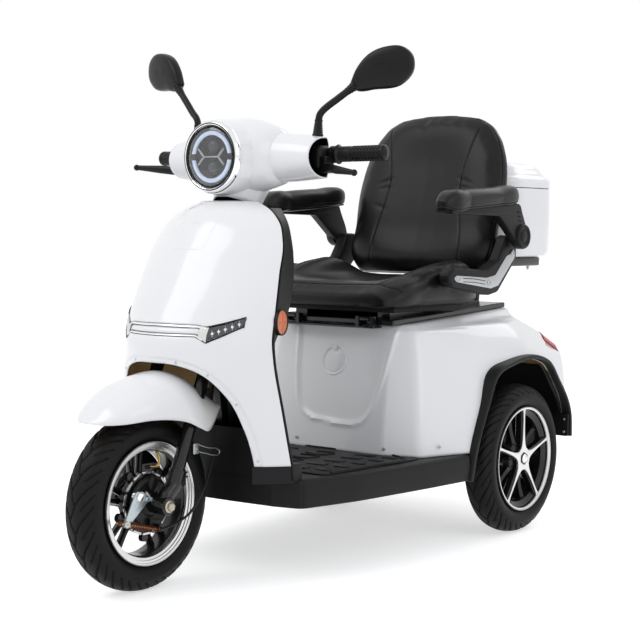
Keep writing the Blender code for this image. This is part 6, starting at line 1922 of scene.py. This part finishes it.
class SCOOTER_OT_light_bar(bpy.types.Operator):
    """Chrome lines, white strip and angular clear lamps across the shield"""

    bl_idname = "scooter.light_bar"
    bl_label = "Light bar"

    def strip(self, xs, low, high, proud, columns=60, rows=4):
        """A strip on the shield between two lines of height over x; proud is how far it stands out, low to high."""

        def place(u, v):
            x = xs[0] + (xs[1] - xs[0]) * u
            z = low(x) + (high(x) - low(x)) * v
            return np.stack([x, shield_surface(x, z) - np.interp(v, np.linspace(0, 1, len(proud)), proud), z], 1)
        return face_along(sheet(columns, rows, place), lambda p: Vector((0, -1, 0)))

    def execute(self, context):
        bar = np.array(LIGHT_BAR).T

        def low(x):
            return np.interp(np.abs(x), bar[0], bar[1])

        def high(x):
            return np.interp(np.abs(x), bar[0], bar[2])

        lines = [
            self.strip((-0.1150, 0.1150), lambda x: low(x) + 0.0010, lambda x: low(x) + 0.0062,
                       (-0.001, 0.0012, 0.0012, -0.0015)),
            self.strip((-0.1180, 0.1180), lambda x: high(x) - 0.0072, lambda x: high(x) - 0.0010,
                       (-0.0015, 0.0014, 0.0014, -0.001)),
        ]
        back = self.strip((-0.1820, 0.1820), lambda x: low(x) + 0.0002, lambda x: high(x) - 0.0002,
                          (-0.004, -0.0055, -0.0055, -0.004), 80)
        white = self.strip((-0.1080, 0.1080), lambda x: low(x) + 0.0066, lambda x: high(x) - 0.0078,
                           (-0.0030, -0.0010, -0.0010, -0.0030))
        for name, bm, kind, slot, instead in (
                ("bar_lines", gather(*lines), "chrome", "silver_metal", ["front_light_bar"]),
                ("bar_strip", white, "white gloss", "white_gloss", ()),
                ("bar_back", back, "matt black", "black_plastic", ())):
            thicken(piece(name, bm, kind, "chassis", instead, sharp=50), 0.0012, 0)
        for side, sign in SIDES:
            span = sorted((sign * 0.1100, sign * 0.1815))
            bowl = self.strip(span, lambda x: low(x) + 0.0008, lambda x: high(x) - 0.0008,
                              (-0.0010, -0.0045, -0.0048, -0.0045, -0.0010), 40, 8)
            parts = [(bowl, 3)]
            for k in range(5):
                x = sign * (0.1300 + 0.0105 * k)
                z = (float(low(x)) + float(high(x))) / 2
                y = float(shield_surface(np.array([x]), np.array([z]))[0]) + 0.0035
                parts.append((spun([(0.0, 0.0022), (0.0030, 0.0010), (0.0044, -0.0016), (0.0050, -0.0030),
                                    (0.0036, -0.0030), (0.0, 0.0)], (x, y, z), (sign * 0.45, -0.88, 0.1), 20), 0))
                parts.append((brick((x - 0.0007, y - 0.0012, z - 0.0075), (x + 0.0007, y + 0.0020, z + 0.0075),
                                    0.0003, 1, Matrix.Rotation(sign * 0.5, 3, "Z")), 2))
            facet = self.strip(sorted((sign * 0.1070, sign * 0.1235)), lambda x: low(x) + 0.0012,
                               lambda x: high(x) - 0.0010, (0.0006, 0.0022, 0.0006), 8, 6)
            parts.append((facet, 2))
            piece("indicator_inside_" + side, gather(*parts), ("chrome", "clear lens", "machined", "smooth black"),
                  "chassis", sharp=30)
            cover = self.strip(sorted((sign * 0.1160, sign * 0.1822)), lambda x: low(x) + 0.0002,
                               lambda x: high(x) - 0.0002, (-0.0004, 0.0012, 0.0012, -0.0004), 40, 6)
            made = piece("indicator_cover_" + side, cover, "clear lens", "chassis", sharp=50)
            thicken(made, 0.0010, 0)
            rim = [(sign * x, float(z)) for x, z in ((0.1160, 0.5640), (0.1230, 0.5582), (0.1500, 0.5732),
                                                     (0.1822, 0.5946), (0.1824, 0.6156), (0.1500, 0.6028),
                                                     (0.1170, 0.5932))]
            path = [Vector((x, float(shield_surface(np.array([x]), np.array([z]))[0]) - 0.0002, z)) for x, z in rim]
            piece("indicator_rim_" + side, tube(path, 0.0013, 8, 2), "smooth black", "chassis")
        return {"FINISHED"}


# The nodes that keep their own shape


NODE_FINISHES = {
    "black paint": ("frame", "rear_axle", "seat_runners", "seat_plate", "seat_stand", "lid_hinge", "handlebar"),
    "black plastic": ("front_apron",),
    "red lens": ("tail_lamp_left", "tail_lamp_right"),
    "battery case": ("battery_pack",),
}


class SCOOTER_OT_plain_parts(bpy.types.Operator):
    """Finishes of the parts that keep their CAD shape"""

    bl_idname = "scooter.plain_parts"
    bl_label = "Frame and plain parts"

    def execute(self, context):
        for kind, names in NODE_FINISHES.items():
            for name in names:
                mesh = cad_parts[name].data
                if not mesh.materials:
                    mesh.materials.append(None)
                for k in range(len(mesh.materials)):
                    mesh.materials[k] = finish(kind)
        return {"FINISHED"}


# Studio

# Where the camera stands, and its yaw, pitch and roll in degrees.
CAMERA_PLACE = (2.345, -3.047, 0.823)
CAMERA_TURN = (37.75, 3.65, 0.51)


class SCOOTER_OT_studio(bpy.types.Operator):
    """Floor, lamps, surroundings and camera"""

    bl_idname = "scooter.studio"
    bl_label = "Studio"

    def lamp(self, name, place, target, size, power):
        light = bpy.data.lights.new(name, "AREA")
        light.shape = "RECTANGLE"
        light.size, light.size_y = size
        light.energy = power
        made = bpy.data.objects.new(name, light)
        made.location = place
        made.rotation_euler = (Vector(target) - Vector(place)).to_track_quat("-Z", "Y").to_euler()
        bpy.context.scene.collection.objects.link(made)

    def execute(self, context):
        studio = context.scene.scooter_studio
        self.lamp("key", (-1.6, -3.2, 4.2), (0, 0, 0.4), (3.2, 2.6), studio.key)
        self.lamp("fill", (4.2, -0.6, 2.6), (0, 0, 0.5), (2.6, 2.4), studio.fill)
        self.lamp("back", (0.6, 3.6, 3.4), (0, 0.2, 0.6), (3.0, 1.6), studio.fill)
        world = bpy.data.worlds.new("surroundings")
        context.scene.world = world
        world.use_nodes = True
        tree = world.node_tree
        ground = tree.nodes["Background"]
        path = tree.nodes.new("ShaderNodeLightPath")
        seen = tree.nodes.new("ShaderNodeBackground")
        seen.inputs["Color"].default_value = (1, 1, 1, 1)
        seen.inputs["Strength"].default_value = 1.0
        ground.inputs["Color"].default_value = (0.95, 0.97, 1.0, 1)
        ground.inputs["Strength"].default_value = studio.sky
        mix = tree.nodes.new("ShaderNodeMixShader")
        tree.links.new(self.shown(tree, path), mix.inputs[0])
        tree.links.new(ground.outputs[0], mix.inputs[1])
        tree.links.new(seen.outputs[0], mix.inputs[2])
        tree.links.new(mix.outputs[0], tree.nodes["World Output"].inputs["Surface"])
        self.floor(context)
        camera = bpy.data.cameras.new("camera")
        camera.sensor_width = 36.0
        camera.lens = studio.lens
        camera.clip_start, camera.clip_end = 0.05, 100.0
        eye = bpy.data.objects.new("camera", camera)
        context.scene.collection.objects.link(eye)
        yaw, pitch, roll = (math.radians(a) for a in CAMERA_TURN)
        ahead = Vector((-math.sin(yaw) * math.cos(pitch), math.cos(yaw) * math.cos(pitch), -math.sin(pitch)))
        right = ahead.cross(Vector((0, 0, 1))).normalized()
        up = right.cross(ahead)
        across = right * math.cos(roll) + up * math.sin(roll)
        over = up * math.cos(roll) - right * math.sin(roll)
        turn = Matrix((across, over, -ahead)).transposed()
        eye.matrix_world = Matrix.Translation(CAMERA_PLACE) @ turn.to_4x4()
        context.scene.camera = eye
        context.scene.view_settings.view_transform = "Standard"
        return {"FINISHED"}

    def shown(self, tree, path):
        """One where a ray from the camera, a mirror or a lens looks at the surroundings."""
        seen = path.outputs["Is Camera Ray"]
        for name in ("Is Glossy Ray", "Is Transmission Ray"):
            both = tree.nodes.new("ShaderNodeMath")
            both.operation = "MAXIMUM"
            tree.links.new(seen, both.inputs[0])
            tree.links.new(path.outputs[name], both.inputs[1])
            seen = both.outputs[0]
        return seen

    def floor(self, context):
        bm = bmesh.new()
        bmesh.ops.create_grid(bm, x_segments=2, y_segments=2, size=30.0)
        mesh = bpy.data.meshes.new("studio_floor")
        bm.to_mesh(mesh)
        bm.free()
        made = bpy.data.objects.new("studio_floor", mesh)
        context.scene.collection.objects.link(made)
        material = bpy.data.materials.new("studio floor")
        material.use_nodes = True
        tree = material.node_tree
        shader = tree.nodes["Principled BSDF"]
        shader.inputs["Base Color"].default_value = (0.82, 0.82, 0.82, 1)
        shader.inputs["Roughness"].default_value = 0.9
        glow = tree.nodes.new("ShaderNodeEmission")
        glow.inputs["Color"].default_value = (1, 1, 1, 1)
        glow.inputs["Strength"].default_value = 0.55
        both = tree.nodes.new("ShaderNodeAddShader")
        tree.links.new(shader.outputs[0], both.inputs[0])
        tree.links.new(glow.outputs[0], both.inputs[1])
        mix = tree.nodes.new("ShaderNodeMixShader")
        tree.links.new(self.shown(tree, tree.nodes.new("ShaderNodeLightPath")), mix.inputs[0])
        tree.links.new(shader.outputs[0], mix.inputs[1])
        tree.links.new(both.outputs[0], mix.inputs[2])
        tree.links.new(mix.outputs[0], tree.nodes["Material Output"].inputs["Surface"])
        mesh.materials.append(material)


STEPS = (
    SCOOTER_OT_plain_parts, SCOOTER_OT_front_shield, SCOOTER_OT_mudguard, SCOOTER_OT_rear_body, SCOOTER_OT_tyres,
    SCOOTER_OT_rims, SCOOTER_OT_fork, SCOOTER_OT_handlebar_cover, SCOOTER_OT_headlamp, SCOOTER_OT_light_bar,
    SCOOTER_OT_grips,
    SCOOTER_OT_mirrors, SCOOTER_OT_black_parts, SCOOTER_OT_seat, SCOOTER_OT_armrests, SCOOTER_OT_top_box,
    SCOOTER_OT_studio,
)


class SCOOTER_PT_panel(bpy.types.Panel):
    """Lists the scooter's pieces and sizes"""

    bl_label = "Scooter"
    bl_idname = "SCOOTER_PT_panel"
    bl_space_type = "VIEW_3D"
    bl_region_type = "UI"
    bl_category = "Scooter"

    def draw(self, context):
        for group in GROUPS:
            box = self.layout.box()
            settings = getattr(context.scene, group)
            for name in type(settings).__annotations__:
                box.prop(settings, name)
        for step in STEPS:
            self.layout.operator(step.bl_idname)


def register():
    for kind in (*GROUPS.values(), *STEPS, SCOOTER_PT_panel):
        bpy.utils.register_class(kind)
    for name, kind in GROUPS.items():
        setattr(bpy.types.Scene, name, bpy.props.PointerProperty(type=kind))


def unregister():
    for name in GROUPS:
        delattr(bpy.types.Scene, name)
    for kind in reversed((*GROUPS.values(), *STEPS, SCOOTER_PT_panel)):
        bpy.utils.unregister_class(kind)


def main():
    register()
    for step in STEPS:
        group, name = step.bl_idname.split(".")
        getattr(getattr(bpy.ops, group), name)()


if __name__ == "__main__":
    main()
